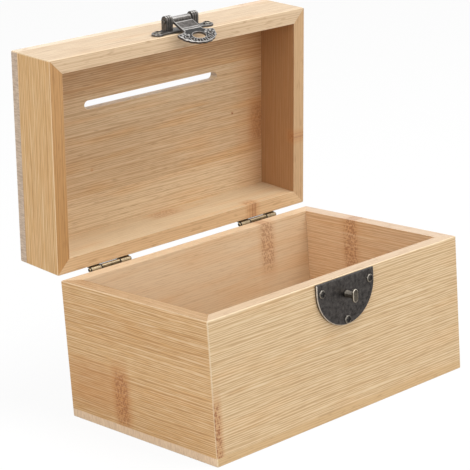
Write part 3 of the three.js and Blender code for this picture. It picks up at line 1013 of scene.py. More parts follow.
@dataclass
class Carcass:
    """A mitred carcass of bamboo boards, its outer arrises rounded with sandpaper."""

    width: float = 200.0
    depth: float = 128.0
    wall: float = 9.0
    corner: float = 1.0
    arris: float = 0.6
    inner_arris: float = 0.25
    seam: float = 0.02

    def outside(self, bottom: float, top: float, eased: float) -> Piece:
        """Make a block of the carcass's outside, with rounded corners and one rounded rim.

        Args:
            bottom: its lower level.
            top: its upper level.
            eased: which of the two levels has its outer arris rounded.

        Returns:
            The block.
        """
        x, y = self.width / 2, self.depth / 2
        block = add_block((-x, -y, bottom), (x, y, top))
        ease(block, self.corner, lambda a, b: abs(a.z - b.z) > NEAR, segments=4)
        ease(block, self.arris, at_level(eased), segments=3)
        return block

    def ring(self, bottom: float, top: float, rim: float) -> Piece:
        """Make the ring of all four walls in one, hollow inside.

        Args:
            bottom: its lower level.
            top: its upper level.
            rim: the level of the open rim, whose arrises are rounded.

        Returns:
            The ring.
        """
        ring = self.outside(bottom, top, rim)
        x, y = self.width / 2 - self.wall, self.depth / 2 - self.wall
        hollow = add_block((-x, -y, bottom - OVERCUT), (x, y, top + OVERCUT))
        combine(ring, hollow, Tool.CUT)

        def inner(a: Vector, b: Vector) -> bool:
            """Whether an edge lies on the inner arris of the rim."""
            return at_level(rim)(a, b) and all(
                abs(p.x) < x + NEAR and abs(p.y) < y + NEAR for p in (a, b)
            )

        ease(ring, self.inner_arris, inner)
        return ring

    def mitre(self, ring: Piece, wall: Wall) -> Piece:
        """Cut one wall out of the ring with a mitre at each end.

        Args:
            ring: the ring of all four walls.
            wall: which wall.

        Returns:
            The wall.
        """
        facing, along = (Vector(direction) for direction in wall.value[:2])
        board = copy_piece(ring)
        for end in (-1, 1):
            out = facing + along * end
            corner = Vector((out.x * self.width / 2, out.y * self.depth / 2, 0.0))
            plane = (along * end - facing).normalized()
            work_on(board)
            bpy.ops.mesh.bisect(
                plane_co=corner - plane * self.seam, plane_no=plane,
                use_fill=True, clear_outer=True,
            )
            bpy.ops.object.mode_set(mode="OBJECT")
        return board

    def part(
        self, ring: Piece, body: Body, place: Matrix, boards: dict[Wall, BambooFinish]
    ) -> None:
        """Part the ring into its four walls and dress them.

        Args:
            ring: the ring of all four walls.
            body: the body they ride on.
            place: what carries them from the bench to their place.
            boards: the finish of each wall.
        """
        for wall, finish in boards.items():
            board = dress(self.mitre(ring, wall), [finish.material(wall.value[2], place)])
            deliver(board, f"{body.value}_{wall.name.lower()}_wall", body, place)
        bpy.data.objects.remove(ring)


# The box's boards: paler ones for front and back, ambers for the ends
BASE_BOARD = BambooFinish(
    "Bamboo_base_board", "#D8BA92", "#C9A678", edge="#D2B285",
    end_pale="#ECD0B0", end_dark="#DBBD9E",
)
BOX_BOARDS = {
    Wall.FRONT: BambooFinish(
        "Bamboo_box_front", "#DBC098", "#CBA97B", edge="#DAC0A1", warm_share=0.2,
        strips=((-STRIP_REACH, 0.45), (30.0, 0.5), (57.0, 0.4)),
        nodes_and_shade_bands=(WarmBand(-99.0, 19.0, 7.0, 36.0),),
    ),
    Wall.BACK: BambooFinish(
        "Bamboo_box_back", "#E4CDAC", "#D8BB96", light_share=0.12, strand_share=0.15,
        nodes_and_shade_bands=(WarmBand(56.0, 70.0, 11.0, 36.0, 0.45, 0.25),),
    ),
    Wall.LEFT: BambooFinish(
        "Bamboo_box_left_end", "#DAB27E", "#C59359", edge="#CBAA84", edge_lines=0.9,
        strips=((-STRIP_REACH, 0.5), (36.0, 0.3), (56.0, 0.55), (72.0, 0.4)),
        warm_share=0.4, strand_share=0.46, strand_pitch=1.25,
        nodes_and_shade_bands=(
            WarmBand(38.0, 24.0, 44.0, 24.0, 0.0, 0.35),
            WarmBand(15.5, 21.5, 12.0, 33.0, 0.55, 0.5),
        ),
    ),
    Wall.RIGHT: BambooFinish(
        "Bamboo_box_right_end", "#E0C099", "#D0A77F", edge="#DBC2A7", strand_share=0.22,
        nodes_and_shade_bands=(WarmBand(16.0, 68.0, 12.0, 36.0, 0.5, 0.25),),
    ),
}

# The lid's boards: a panel of plainly striped strips, ambers for the ends
PANEL_BOARD = BambooFinish(
    "Bamboo_lid_panel", "#E0C59F", "#BE976B", edge="#F0DCC2",
    end_pale="#D2BDA8", end_dark="#B09A86",
    strips=((-STRIP_REACH, 0.88), (-30.0, 0.33), (-7.0, 0.53), (31.5, 0.12)),
    cloud_contrast=0.6, warm_share=0.45, light_share=0.26, strand_share=0.3, dash_share=0.5,
    nodes_and_shade_bands=(
        WarmBand(-49.0, 17.0, 1.6, 1.6), WarmBand(65.5, 3.6, 1.6, 1.6),
        # The wide band without spots at the right end is painted shade, where the right wall shades
        # the panel
        WarmBand(93.0, 0.0, 34.0, 150.0, 0.0, 0.3), WarmBand(89.0, 13.0, 14.0, 24.0, 0.3, 0.4),
    ),
)
LID_BOARDS = {
    Wall.FRONT: BambooFinish("Bamboo_lid_front", "#DBC5A8", "#CFB18E", edge="#DABF9D"),
    Wall.BACK: BambooFinish(
        "Bamboo_lid_back", "#D8C2A0", "#C9AE8A", edge="#D9B88E",
        light_share=0.2, strand_share=0.2,
        nodes_and_shade_bands=(
            WarmBand(2.0, 108.0, 20.0, 9.0, 0.3, 0.25), WarmBand(55.0, 84.0, 9.0, 14.0, 0.45, 0.35),
        ),
    ),
    Wall.LEFT: BambooFinish(
        "Bamboo_lid_left_end", "#DCB37C", "#CB9C62", edge="#C19460", edge_lines=0.5,
        light_share=0.36,
    ),
    Wall.RIGHT: BambooFinish(
        # Its inner side gets painted shade
        "Bamboo_lid_right_end", "#DAB98E", "#C7A173", edge="#C9A57B", inner_side_shade="#C8B19E",
        light_share=0.2, strand_share=0.2,
        nodes_and_shade_bands=(WarmBand(18.5, 84.0, 7.0, 10.0, 0.4, 0.3),),
    ),
}


@dataclass
class Box(Carcass):
    """The lower half of the chest: a base board with four mitred walls glued onto it."""

    base_top: float = 5.0

    def build(self) -> None:
        """Model the boards and dress them."""
        base = self.outside(0.0, self.base_top - self.seam, 0.0)
        dress(base, [BASE_BOARD.material(Grain.FLAT, SHUT)])
        deliver(base, "base_board", Body.BOX, SHUT)
        self.part(self.ring(self.base_top, BOX_RIM, BOX_RIM), Body.BOX, SHUT, BOX_BOARDS)


@dataclass
class Lid(Carcass):
    """The upper half: a panel with a long slot, glued onto four mitred walls."""

    panel_under: float = 113.9
    top: float = 119.9
    slot_length: float = 105.5
    slot_width: float = 5.2
    slot_y: float = -23.5
    slot_arris: float = 0.5

    def build(self) -> None:
        """Model the boards and dress them."""
        panel = dress(self.panel(), [PANEL_BOARD.material(Grain.FLAT, LID_OPEN)])
        deliver(panel, "lid_panel", Body.LID, LID_OPEN)
        ring = self.ring(LID_RIM, self.panel_under - self.seam, LID_RIM)
        self.part(ring, Body.LID, LID_OPEN, LID_BOARDS)

    def panel(self) -> Piece:
        """Model the panel and rout its slot.

        Returns:
            The panel.
        """
        panel = self.outside(self.panel_under, self.top, self.top)
        radius = self.slot_width / 2
        reach = self.slot_length / 2 - radius
        right = arc((reach, self.slot_y), (radius, radius), -90, 90, steps=10)
        left = arc((-reach, self.slot_y), (radius, radius), 90, 270, steps=10)
        rise = UP * (self.top - self.panel_under + 2 * OVERCUT)
        router = cut_sheet(right + left, rise, self.panel_under - OVERCUT)
        combine(panel, router, Tool.CUT)

        def slot_edge(a: Vector, b: Vector) -> bool:
            """Whether an edge runs round the slot on either face."""
            return abs(a.z - b.z) < NEAR and all(
                abs(p.x) < self.slot_length and abs(p.y - self.slot_y) < radius + NEAR
                for p in (a, b)
            )

        ease(panel, self.slot_arris, slot_edge)
        return panel


@dataclass
class WoodScrew:
    """A pan head wood screw with a cross recess in painted shade, rubbed bright round its head with
    a painted highlight.
    """

    metal: MetalShelf
    head_radius: float = 2.4
    head_height: float = 1.1
    head_edge: float = 0.4
    shank_radius: float = 1.1
    length: float = 8.0
    tip: float = 2.0
    recess_length: float = 3.5
    recess_width: float = 1.05
    recess_depth: float = 0.6
    recess_share: float = 0.7
    rim_share: float = 0.86
    facets: int = 32
    crown_steps: int = 8

    def __post_init__(self) -> None:
        """Model the one screw that all others are copied from."""
        crown = arc(
            (0.0, self.head_edge), (self.head_radius, self.head_height - self.head_edge),
            0, 90, self.crown_steps,
        )
        profile = [
            (0.0, -self.length), (self.shank_radius, self.tip - self.length),
            (self.shank_radius, 0.0), (self.head_radius, 0.0), *((p.x, p.y) for p in crown),
        ]
        self.model = dress(turn_profile(profile, self.facets), self.metal.steel)
        floor = self.head_height - self.recess_depth
        half, width = self.recess_length / 2, self.recess_width / 2
        for x, y in ((half, width), (width, half)):
            punch = add_block((-x, -y, floor), (x, y, self.head_height + OVERCUT))
            combine(self.model, punch, Tool.CUT)

        def in_recess(at: Vector, up: Vector) -> bool:
            """Whether a face is a side or the floor of the cross recess."""
            inside = math.hypot(at.x, at.y) < self.head_radius * self.recess_share and at.z > NEAR
            return inside and (up.z < FLAT_UP or at.z < floor + NEAR)

        # Painted highlight on the rubbed rim of the head, painted shade in the cross recess
        rim = self.head_radius * self.rim_share
        coat_faces(
            self.model, Coat.WORN, lambda at, up: math.hypot(at.x, at.y) > rim and at.z > NEAR,
        )
        coat_faces(self.model, Coat.GRIME_AND_SHADE, in_recess)

    def drive(self, node: str, body: Body, seat: Matrix, turned: float) -> None:
        """Copy the screw into its place.

        Args:
            node: the CAD node it stands for.
            body: the body it rides on.
            seat: what carries it from the bench to its seat.
            turned: how far its cross is turned, in degrees.
        """
        screw = copy_piece(self.model)
        deliver(screw, node, body, seat @ turn(turned, "Z"))

    def put_away(self) -> None:
        """Take the model off the bench when all screws are driven."""
        bpy.data.objects.remove(self.model)


# Profile of a pin's head in shares of its radius and rise: side, rounded rim, dish
PIN_HEAD = (
    (1.0, 0.0), (1.0, 0.35), (0.93, 0.75), (0.78, 1.0), (0.66, 1.0), (0.55, 0.45), (0.0, 0.3),
)


def headed_pin(radius: float, half: float, head: float, rise: float) -> Piece:
    """Turn a pin with a low head at each end, dished by the riveting punch.

    Args:
        radius: the pin's radius.
        half: half the length between the heads.
        head: the heads' radius.
        rise: how far a head stands out.

    Returns:
        The pin, upright on the bench.
    """
    upper = [(radius, half), *((head * out, half + rise * up) for out, up in PIN_HEAD)]
    lower = [(r, -h) for r, h in reversed(upper)]
    return turn_profile(lower + upper, facets=28)


@dataclass
class ButtHinge:
    """A small butt hinge bent from brass plated sheet, its knuckles rolled round a headed pin."""

    metal: MetalShelf
    screw: WoodScrew
    stations: tuple[tuple[str, float], ...] = (("left", -61.4), ("right", 58.6))
    length: float = 30.0
    sheet: float = 0.8
    sheet_arris: float = 0.2
    leaf_bottom: float = 13.0
    leaf_top: float = 2.5
    leaf_corner: float = 2.0
    knuckle: float = 1.75
    knuckle_arris: float = 0.3
    roll_end: float = -122.0
    roll_slack: float = 0.05
    middle: float = 14.0
    gap: float = 0.3
    pin_radius: float = 0.8
    pin_half: float = 15.3
    pin_head: float = 1.25
    pin_head_rise: float = 0.5
    pin_dish_share: float = 0.62
    screw_reach: float = 9.5
    screw_drop: float = 9.0

    # How far up a knuckle's face looks where it gets a painted highlight along its top
    highlight_up: float = 0.55

    # How far the crosses of a leaf's screws differ, and those of the two leaves, in degrees
    screw_turn: float = 17.0
    leaf_turn: float = 23.0

    def build(self) -> None:
        """Model one hinge and fit copies of it at both stations."""
        half, end = self.middle / 2, self.length / 2
        box_leaf = self.leaf([(-half, half)])
        lid_leaf = self.leaf([(-end, -half - self.gap), (half + self.gap, end)])
        pin = self.pin()
        for side, x in self.stations:
            seat = shift(x, BOX_BACK, HINGE_PIN.z) @ ON_BACK
            for model, part, body, place in (
                (box_leaf, "box_leaf", Body.BOX, seat),
                (lid_leaf, "lid_leaf", Body.LID, LID_OPEN @ seat @ turn(180.0, "Z")),
                (pin, "pin", Body.BOX, seat),
            ):
                node = f"{side}_hinge_{part}"
                deliver(copy_piece(model), node, body, place)
            self.fix(side, x)
        for model in (box_leaf, lid_leaf, pin):
            bpy.data.objects.remove(model)

    def fix(self, side: str, x: float) -> None:
        """Drive the four screws of one hinge.

        Args:
            side: which hinge.
            x: its station along the back.
        """
        y = BOX_BACK + METAL_SEAT + self.sheet + SCREW_PLAY
        for body, way, place in ((Body.BOX, -1, SHUT), (Body.LID, 1, LID_OPEN)):
            for number, reach in ((1, -self.screw_reach), (2, self.screw_reach)):
                seat = shift(x + reach, y, HINGE_PIN.z + way * self.screw_drop) @ ON_BACK
                node = f"{side}_hinge_{body.value}_screw_{number}"
                turned = self.screw_turn * number + self.leaf_turn * way + x
                self.screw.drive(node, body, place @ seat, turned)

    def leaf(self, spans: Sequence[Pair]) -> Piece:
        """Model a leaf hanging below the pin, with a knuckle rolled from it in each span.

        Args:
            spans: where its knuckles start and end along the pin.

        Returns:
            The leaf.
        """
        x, r = self.length / 2 - self.leaf_corner, self.leaf_corner
        top, bottom = -self.leaf_top - r, -self.leaf_bottom + r
        outline = []
        for cx, cy, start in ((x, top, 0), (-x, top, 90), (-x, bottom, 180), (x, bottom, 270)):
            outline += arc((cx, cy), (r, r), start, start + 90, steps=6)
        leaf = cut_sheet(outline, UP * self.sheet, METAL_SEAT)
        dress(leaf, self.metal.brass)
        # The leaf's rounded front edge: rubbed bright, with a painted highlight
        ease(leaf, self.sheet_arris, at_level(METAL_SEAT + self.sheet), coat=Coat.WORN)
        for start, end in spans:
            combine(leaf, self.rolled(start, end), Tool.FUSE)
        for reach in (-self.screw_reach, self.screw_reach):
            drill(leaf, SCREW_HOLE, DRILL_SPAN, shift(reach, -self.screw_drop, 0.0), facets=20)
        return leaf

    def rolled(self, start: float, end: float) -> Piece:
        """Roll the sheet once round the pin, as a knuckle with its neck.

        Args:
            start: where the knuckle starts along the pin.
            end: where it ends.

        Returns:
            The knuckle.
        """
        outer, inner = self.knuckle, self.knuckle - self.sheet
        centre = METAL_SEAT + outer
        foot = -self.leaf_top - self.leaf_corner
        corners = [Vector((METAL_SEAT, foot, 0.0))]
        corners += arc((centre, 0.0), (outer, outer), 180, self.roll_end, steps=28)
        corners += arc((centre, 0.0), (inner, inner), self.roll_end, 180, steps=24)
        corners.append(Vector((METAL_SEAT + self.sheet, foot, 0.0)))
        outline = [Vector((start, p.y, p.x)) for p in corners]
        knuckle = cut_sheet(outline, ALONG * (end - start))
        dress(knuckle, self.metal.brass)

        def on_roll(p: Vector) -> bool:
            """Whether a point lies on the outside of the roll."""
            return math.hypot(p.y, p.z - centre) > outer - self.roll_slack

        def mouth(a: Vector, b: Vector) -> bool:
            """Whether an edge runs round the outside of a knuckle's end."""
            return abs(a.x - b.x) < NEAR and all(
                on_roll(p) and p.y > foot + NEAR for p in (a, b)
            )

        # Painted shade on the rounded knuckle ends, darkening the gaps between knuckles
        ease(knuckle, self.knuckle_arris, mouth, segments=3, coat=Coat.GRIME_AND_SHADE)
        # Painted highlight band along the knuckle's top
        coat_faces(
            knuckle, Coat.WORN,
            lambda at, up: on_roll(at) and abs(up.x) < NEAR and up.y > self.highlight_up,
        )
        return knuckle

    def pin(self) -> Piece:
        """Turn the pin and lay it along the knuckles.

        Returns:
            The pin.
        """
        half, rise = self.pin_half, self.pin_head_rise
        dish = self.pin_head * self.pin_dish_share
        pin = headed_pin(self.pin_radius, half, self.pin_head, rise)
        dress(pin, self.metal.brass)
        # Pin heads: rims rubbed bright with a painted highlight, dished middles in painted shade
        coat_faces(pin, Coat.WORN, lambda at, up: abs(at.z) > half + rise / 2)
        coat_faces(
            pin, Coat.GRIME_AND_SHADE, lambda at, up: abs(at.z) > half and math.hypot(at.x, at.y) < dish,
        )
        carry(pin, shift(0.0, 0.0, METAL_SEAT + self.knuckle) @ ON_PIN)
        return pin


@dataclass
class Catch:
    """The catch on the box front: a half round plate, three screws and a turn knob."""

    metal: MetalShelf
    screw: WoodScrew
    width: float = 46.0
    straight: float = 5.6
    thickness: float = 1.4
    bevel: float = 0.7
    below_rim: float = 0.5

    # How far up the faces of the plate's bevel look where they are rubbed bright with a painted
    # highlight, and those of the post where its top gets painted light
    bevel_wear_and_highlight: tuple[float, float] = (0.15, 0.92)
    post_highlight: float = 0.35

    stem_hole: float = 1.68
    screw_reach: float = 19.25
    side_screw: float = 77.2
    foot_screw: float = 57.5
    post_radius: float = 2.2
    post_waist: float = 0.25
    post_arris: float = 0.2
    post_foot: float = 1.2
    foot_slope: float = 0.5
    post_neck: float = 0.8
    neck_slope: float = 0.6
    stem_radius: float = 1.6
    peen_radius: float = 2.6
    peen_flat: float = 1.56
    peen_edge: float = 0.3
    peen_rise: float = 0.8
    head_length: float = 7.8
    head_width: float = 3.9
    head_inner: float = 7.7
    head_outer: float = 9.2
    head_lap: float = 0.4
    head_arris: float = 0.35
    head_rim: float = 0.12
    head_dish: float = 0.15
    end_play: float = 0.15

    def build(self) -> None:
        """Model the plate and the knob, and drive the screws."""
        top = BOX_RIM - self.below_rim
        seat = shift(FITTING_X, BOX_FRONT, top) @ ON_FRONT
        deliver(self.plate(top), "catch_plate", Body.BOX, seat)
        stem = shift(FITTING_X, BOX_FRONT, KNOB_LEVEL) @ ON_FRONT
        deliver(self.knob(), "turn_knob", Body.KNOB, stem)
        y = BOX_FRONT - METAL_SEAT - self.thickness - SCREW_PLAY
        for name, reach, level, turned in (
            ("left", -self.screw_reach, self.side_screw, 12.0),
            ("right", self.screw_reach, self.side_screw, 38.0),
            ("foot", 0.0, self.foot_screw, -8.0),
        ):
            place = shift(FITTING_X + reach, y, level) @ ON_FRONT
            self.screw.drive(f"catch_screw_{name}", Body.BOX, place, turned)

    def plate(self, top: float) -> Piece:
        """Model the plate flat on the bench, its straight top edge on y = 0.

        Args:
            top: the level of that edge on the box.

        Returns:
            The plate.
        """
        radius = self.width / 2
        outline = [Vector((radius, 0.0, 0.0)), Vector((-radius, 0.0, 0.0))]
        outline += arc((0.0, -self.straight), (radius, radius), 180, 360, steps=72)
        plate = cut_sheet(outline, UP * self.thickness, METAL_SEAT)
        dress(plate, self.metal.pewter)
        ease(plate, self.bevel, at_level(METAL_SEAT + self.thickness), segments=4)
        # The plate's bevel: rubbed bright, with a painted highlight
        low, high = self.bevel_wear_and_highlight
        coat_faces(plate, Coat.WORN, lambda at, up: low < up.z < high and at.y < -self.bevel)
        for x, level, hole in (
            (-self.screw_reach, self.side_screw, SCREW_HOLE),
            (self.screw_reach, self.side_screw, SCREW_HOLE),
            (0.0, self.foot_screw, SCREW_HOLE),
            (0.0, KNOB_LEVEL, self.stem_hole),
        ):
            drill(plate, hole, DRILL_SPAN, shift(x, level - top, 0.0))
        return plate

    def knob(self) -> Piece:
        """Model the knob: a riveted post with a dished oblong head.

        Returns:
            The knob.
        """
        peen = METAL_SEAT - self.end_play
        shoulder = METAL_SEAT + self.thickness + self.end_play
        neck = self.head_inner + self.head_lap
        post, waist = self.post_radius, self.post_radius - self.post_waist
        foot, collar = shoulder + self.post_foot, neck - self.post_neck
        # Radius and height from the riveted end, through plate and waisted post, up into the head
        profile = [
            (0.0, peen - self.peen_rise), (self.peen_flat, peen - self.peen_rise),
            (self.peen_radius, peen - self.peen_edge), (self.peen_radius, peen),
            (self.stem_radius, peen), (self.stem_radius, shoulder),
            (post - self.post_arris, shoulder), (post, shoulder + self.post_arris),
            (post, foot), (waist, foot + self.foot_slope), (waist, collar - self.neck_slope),
            (post, collar), (post, neck), (0.0, neck),
        ]
        knob = dress(turn_profile(profile, facets=32), self.metal.knob)
        # Painted light on the top side of the post
        coat_faces(
            knob, Coat.WORN, lambda at, up: up.y > self.post_highlight and shoulder < at.z < neck,
        )
        combine(knob, self.knob_head(), Tool.FUSE)
        return knob

    def knob_head(self) -> Piece:
        """Model the oblong head, rounded all round and dished in front.

        Returns:
            The head.
        """
        radius = self.head_width / 2
        reach = self.head_length / 2 - radius
        outline = arc((0.0, reach), (radius, radius), 0, 180, steps=14)
        outline += arc((0.0, -reach), (radius, radius), 180, 360, steps=14)
        thick = UP * (self.head_outer - self.head_inner)
        head = dress(cut_sheet(outline, thick, self.head_inner), self.metal.knob)
        # The head's rounded rim: rubbed bright, with a painted highlight
        ease(
            head, self.head_arris, lambda a, b: abs(a.z - b.z) < NEAR, segments=3, coat=Coat.WORN,
        )
        sink(head, self.head_outer, self.head_rim, self.head_rim, self.head_dish)
        return head


@dataclass
class Hasp:
    """The hasp on the lid: a bracket with two ribbed lugs, a pin and a pierced swinging flap."""

    metal: MetalShelf
    screw: WoodScrew
    ear_level: float = 88.9
    ear_reach: float = 19.25
    ear_radius: float = 3.9
    waist: float = 2.4
    foot_sheet: float = 1.2
    foot_arris: float = 0.3
    foot_top: float = 5.3
    foot_bottom: float = -3.0
    lug_inner: float = 7.6
    lug_width: float = 5.0
    lug_half: float = 2.6
    lug_rise: float = 10.2
    ribs: int = 3
    rib_lap: float = 0.02
    rib_arris: float = 0.5

    # How far up the faces of ribs and ornaments look where they are rubbed bright with a painted
    # highlight, and how far along the pin a rib's face looks where it gets grime and painted shade
    # at its groove
    rib_highlight: float = 0.75
    ornament_highlight: float = 0.4
    rib_groove_shade: tuple[float, float] = (0.5, 0.98)

    pin_radius: float = 1.0
    pin_half: float = 12.9
    pin_head: float = 1.4
    pin_head_rise: float = 0.4
    barrel: float = 14.6
    barrel_radius: float = 2.3
    barrel_arris: float = 0.3
    bore: float = 1.08
    bore_lap: float = 0.1
    sheet: float = 1.2
    sheet_arris: float = 0.15
    strap: float = 7.0
    shoulder: float = -12.5
    tip: float = -14.8
    plate: float = 13.7
    drop: float = 10.4
    scallops: int = 9
    scallop: float = 0.9
    hole_y: float = -18.5
    hole: tuple[float, float] = (4.8, 3.2)
    piercings: int = 7
    piercing: tuple[float, float] = (1.3, 0.85)
    relief: float = 0.25
    rim: float = 0.5
    rim_slope: float = 0.15
    collar: float = 0.5
    collar_arris: float = 0.14
    ridges: tuple[float, ...] = (-3.3, -9.7, -11.3)
    ridge_half: float = 0.5
    ridge_foot: float = 0.1
    boss: float = 0.9
    boss_shoulder: float = 0.72
    boss_crown: float = 0.06
    bosses: tuple[tuple[float, float], ...] = (
        (8.3, -15.1), (10.7, -15.8), (12.3, -17.3), (6.6, -16.4), (11.4, -20.2),
    )

    def build(self) -> None:
        """Model bracket, pin and flap, and drive the screws."""
        seat = LID_OPEN @ shift(FITTING_X, BOX_FRONT, self.ear_level) @ ON_FRONT
        deliver(self.bracket(), "hasp_bracket", Body.LID, seat)
        y = BOX_FRONT - METAL_SEAT - self.foot_sheet - SCREW_PLAY
        for name, reach, turned in (
            ("left", -self.ear_reach, 31.0), ("right", self.ear_reach, 4.0),
        ):
            place = LID_OPEN @ shift(FITTING_X + reach, y, self.ear_level) @ ON_FRONT
            self.screw.drive(f"hasp_screw_{name}", Body.LID, place, turned)
        pin = headed_pin(self.pin_radius, self.pin_half, self.pin_head, self.pin_head_rise)
        dress(pin, self.metal.zinc)
        middle = Matrix.Translation(HASP_PIN)
        deliver(pin, "hasp_pin", Body.LID, LID_OPEN @ middle @ ON_PIN)
        deliver(self.flap(), "hasp_flap", Body.HASP, HASP_DROOP @ middle @ ON_FRONT)

    def bracket(self) -> Piece:
        """Model the bracket on the bench about the level of its ears.

        Returns:
            The bracket.
        """
        end = self.lug_inner + self.lug_width
        middle = (self.ear_reach + end) / 2
        ear, r = self.ear_reach, self.ear_radius
        right = [Vector((end, self.foot_bottom, 0.0))]
        right += bow((end, self.foot_bottom), (middle, -self.waist), (ear, -r))
        right += arc((ear, 0.0), (r, r), -90, 90, steps=16)[1:]
        right += bow((ear, r), (middle, self.waist), (end, self.foot_top))
        left = [Vector((-p.x, p.y, 0.0)) for p in reversed(right)]
        foot = cut_sheet(left + right, UP * self.foot_sheet, METAL_SEAT)
        dress(foot, self.metal.zinc)
        # The foot's rounded edge: rubbed bright, with a painted highlight
        ease(foot, self.foot_arris, at_level(METAL_SEAT + self.foot_sheet), coat=Coat.WORN)
        for side in (-1, 1):
            for number in range(self.ribs):
                combine(foot, self.rib(side, number), Tool.FUSE)
        for reach in (-ear, ear):
            drill(foot, SCREW_HOLE, DRILL_SPAN, shift(reach, 0.0, 0.0))
        pin = shift(0.0, HASP_PIN.z - self.ear_level, BOX_FRONT - HASP_PIN.y) @ ON_PIN
        drill(foot, self.bore, (-end - OVERCUT, end + OVERCUT), pin, facets=28)
        return foot

    def rib(self, side: int, number: int) -> Piece:
        """Model one rounded rib of a lug.

        Args:
            side: which lug, -1 left or 1 right.
            number: which rib, counted from the barrel outwards.

        Returns:
            The rib.
        """
        step = self.lug_width / self.ribs
        inner = self.lug_inner + number * step
        start = min(side * inner, side * (inner + step)) - self.rib_lap
        level = HASP_PIN.z - self.ear_level
        dome = self.lug_rise - self.lug_half
        foot = METAL_SEAT + self.foot_sheet / 2
        corners = [Vector((-self.lug_half, foot, 0.0)), Vector((self.lug_half, foot, 0.0))]
        corners += arc((0.0, dome), (self.lug_half, self.lug_half), 0, 180, steps=18)
        outline = [Vector((start, level + p.x, p.y)) for p in corners]
        rib = cut_sheet(outline, ALONG * (step + 2 * self.rib_lap))
        dress(rib, self.metal.zinc)
        ease(
            rib, self.rib_arris,
            lambda a, b: abs(a.x - b.x) < NEAR and max(a.z, b.z) > foot + NEAR, segments=3,
        )
        # Painted highlight on the rib's crown; grime and painted shade where it curves down into
        # the groove
        low, high = self.rib_groove_shade
        coat_faces(rib, Coat.WORN, lambda at, up: up.z > self.rib_highlight and abs(up.x) < low)
        coat_faces(rib, Coat.GRIME_AND_SHADE, lambda at, up: low < abs(up.x) < high)
        return rib

    def outline(self) -> list[Vector]:
        """Draw the flap's scalloped outline below its barrel.

        Returns:
            The corners in order, from the strap's top left round to its top right.
        """
        strap, plate, drop, out = self.strap, self.plate, self.drop, self.scallop

        def on_rim(turned: float, proud: float) -> tuple[float, float]:
            """Find a point on the plate's rim, or some way outside it."""
            x, y = (plate + proud) * math.cos(turned), (drop + proud) * math.sin(turned)
            return (x, self.tip + y)

        points = [Vector((-strap, 0.0, 0.0)), Vector((-strap, self.shoulder, 0.0))]
        points += bow((-strap, self.shoulder), (-strap, self.tip + out), (-plate, self.tip))
        step = math.pi / self.scallops
        for i in range(self.scallops):
            start, middle, end = (math.pi + (i + share) * step for share in (0.0, 0.5, 1.0))
            points += bow(on_rim(start, 0.0), on_rim(middle, out), on_rim(end, 0.0), steps=6)
        points += bow((plate, self.tip), (strap, self.tip + out), (strap, self.shoulder))
        points.append(Vector((strap, 0.0, 0.0)))
        return points

    def flap(self) -> Piece:
        """Model the flap on the bench, hanging down from its pin at the origin.

        Returns:
            The flap.
        """
        level, crease = self.sheet / 2, min(self.ridges)
        front = level + self.relief
        flap = cut_sheet(self.outline(), UP * (front + level), -level)
        dress(flap, self.metal.zinc)
        # The front edge and the raised rim round the sunk face: rubbed bright, with a painted
        # highlight
        ease(flap, self.sheet_arris, at_level(front), coat=Coat.WORN)
        sink(flap, front, self.rim, self.rim_slope, self.relief)
        coat_faces(flap, Coat.WORN, lambda at, up: at.z > front - NEAR)
        for ornament in self.ornaments():
            combine(flap, ornament, Tool.FUSE)
        for punch in self.ovals(0.0, -self.sheet, 3 * self.sheet):
            combine(flap, punch, Tool.CUT)
        # The sunk ground below the crease: grime, with painted shade between the ornaments
        coat_faces(
            flap, Coat.GRIME_AND_SHADE,
            lambda at, up: abs(at.z - level) < NEAR and up.z > FLAT_UP and at.y < crease,
        )
        end = self.barrel / 2 + OVERCUT
        drill(flap, self.bore + self.bore_lap, (-end, end), ON_PIN, facets=40)
        combine(flap, self.rolled_barrel(), Tool.FUSE)
        return flap

    def rolled_barrel(self) -> Piece:
        """Turn the flap's barrel, hollow for the pin, and lay it along the pin.

        Returns:
            The barrel.
        """
        half, outer, inner = self.barrel / 2, self.barrel_radius, self.bore
        arris = self.barrel_arris
        ring = [
            (inner, -half), (outer - arris, -half), (outer, arris - half), (outer, half - arris),
            (outer - arris, half), (inner, half), (inner, -half),
        ]
        barrel = dress(turn_profile(ring, facets=40), self.metal.zinc)
        # The barrel's rounded ends: rubbed bright, with a painted highlight
        coat_faces(
            barrel, Coat.WORN,
            lambda at, up: abs(at.z) > half - arris and math.hypot(at.x, at.y) > outer - arris,
        )
        carry(barrel, ON_PIN)
        # Painted highlight band along the barrel's top
        coat_faces(barrel, Coat.WORN, lambda at, up: up.z > FLAT_UP)
        return barrel

    def ovals(self, wider: float, low: float, rise: float) -> list[Piece]:
        """Model a solid for the oval hole and for each piercing of the fan below it.

        Args:
            wider: how much wider than the hole it is all round.
            low: the level it starts from.
            rise: its height.

        Returns:
            The solids.
        """
        reach_x = (self.plate + self.hole[0]) / 2
        sag = (self.tip - self.hole_y) / 2
        reach_y = (self.drop - 2 * sag + self.hole[1]) / 2 + sag
        places = [(0.0, self.hole_y, 0.0, self.hole, 44)]
        for i in range(self.piercings):
            angle = math.pi * (1 + (i + 0.5) / self.piercings)
            x, y = reach_x * math.cos(angle), self.tip - sag + reach_y * math.sin(angle)
            places.append((x, y, angle, self.piercing, 20))
        solids = []
        for x, y, angle, radii, steps in places:
            ring = arc((0.0, 0.0), (radii[0] + wider, radii[1] + wider), 0, 360, steps)[:-1]
            oval = cut_sheet(ring, UP * rise)
            carry(oval, shift(x, y, low) @ Matrix.Rotation(angle, 4, "Z"))
            solids.append(oval)
        return solids

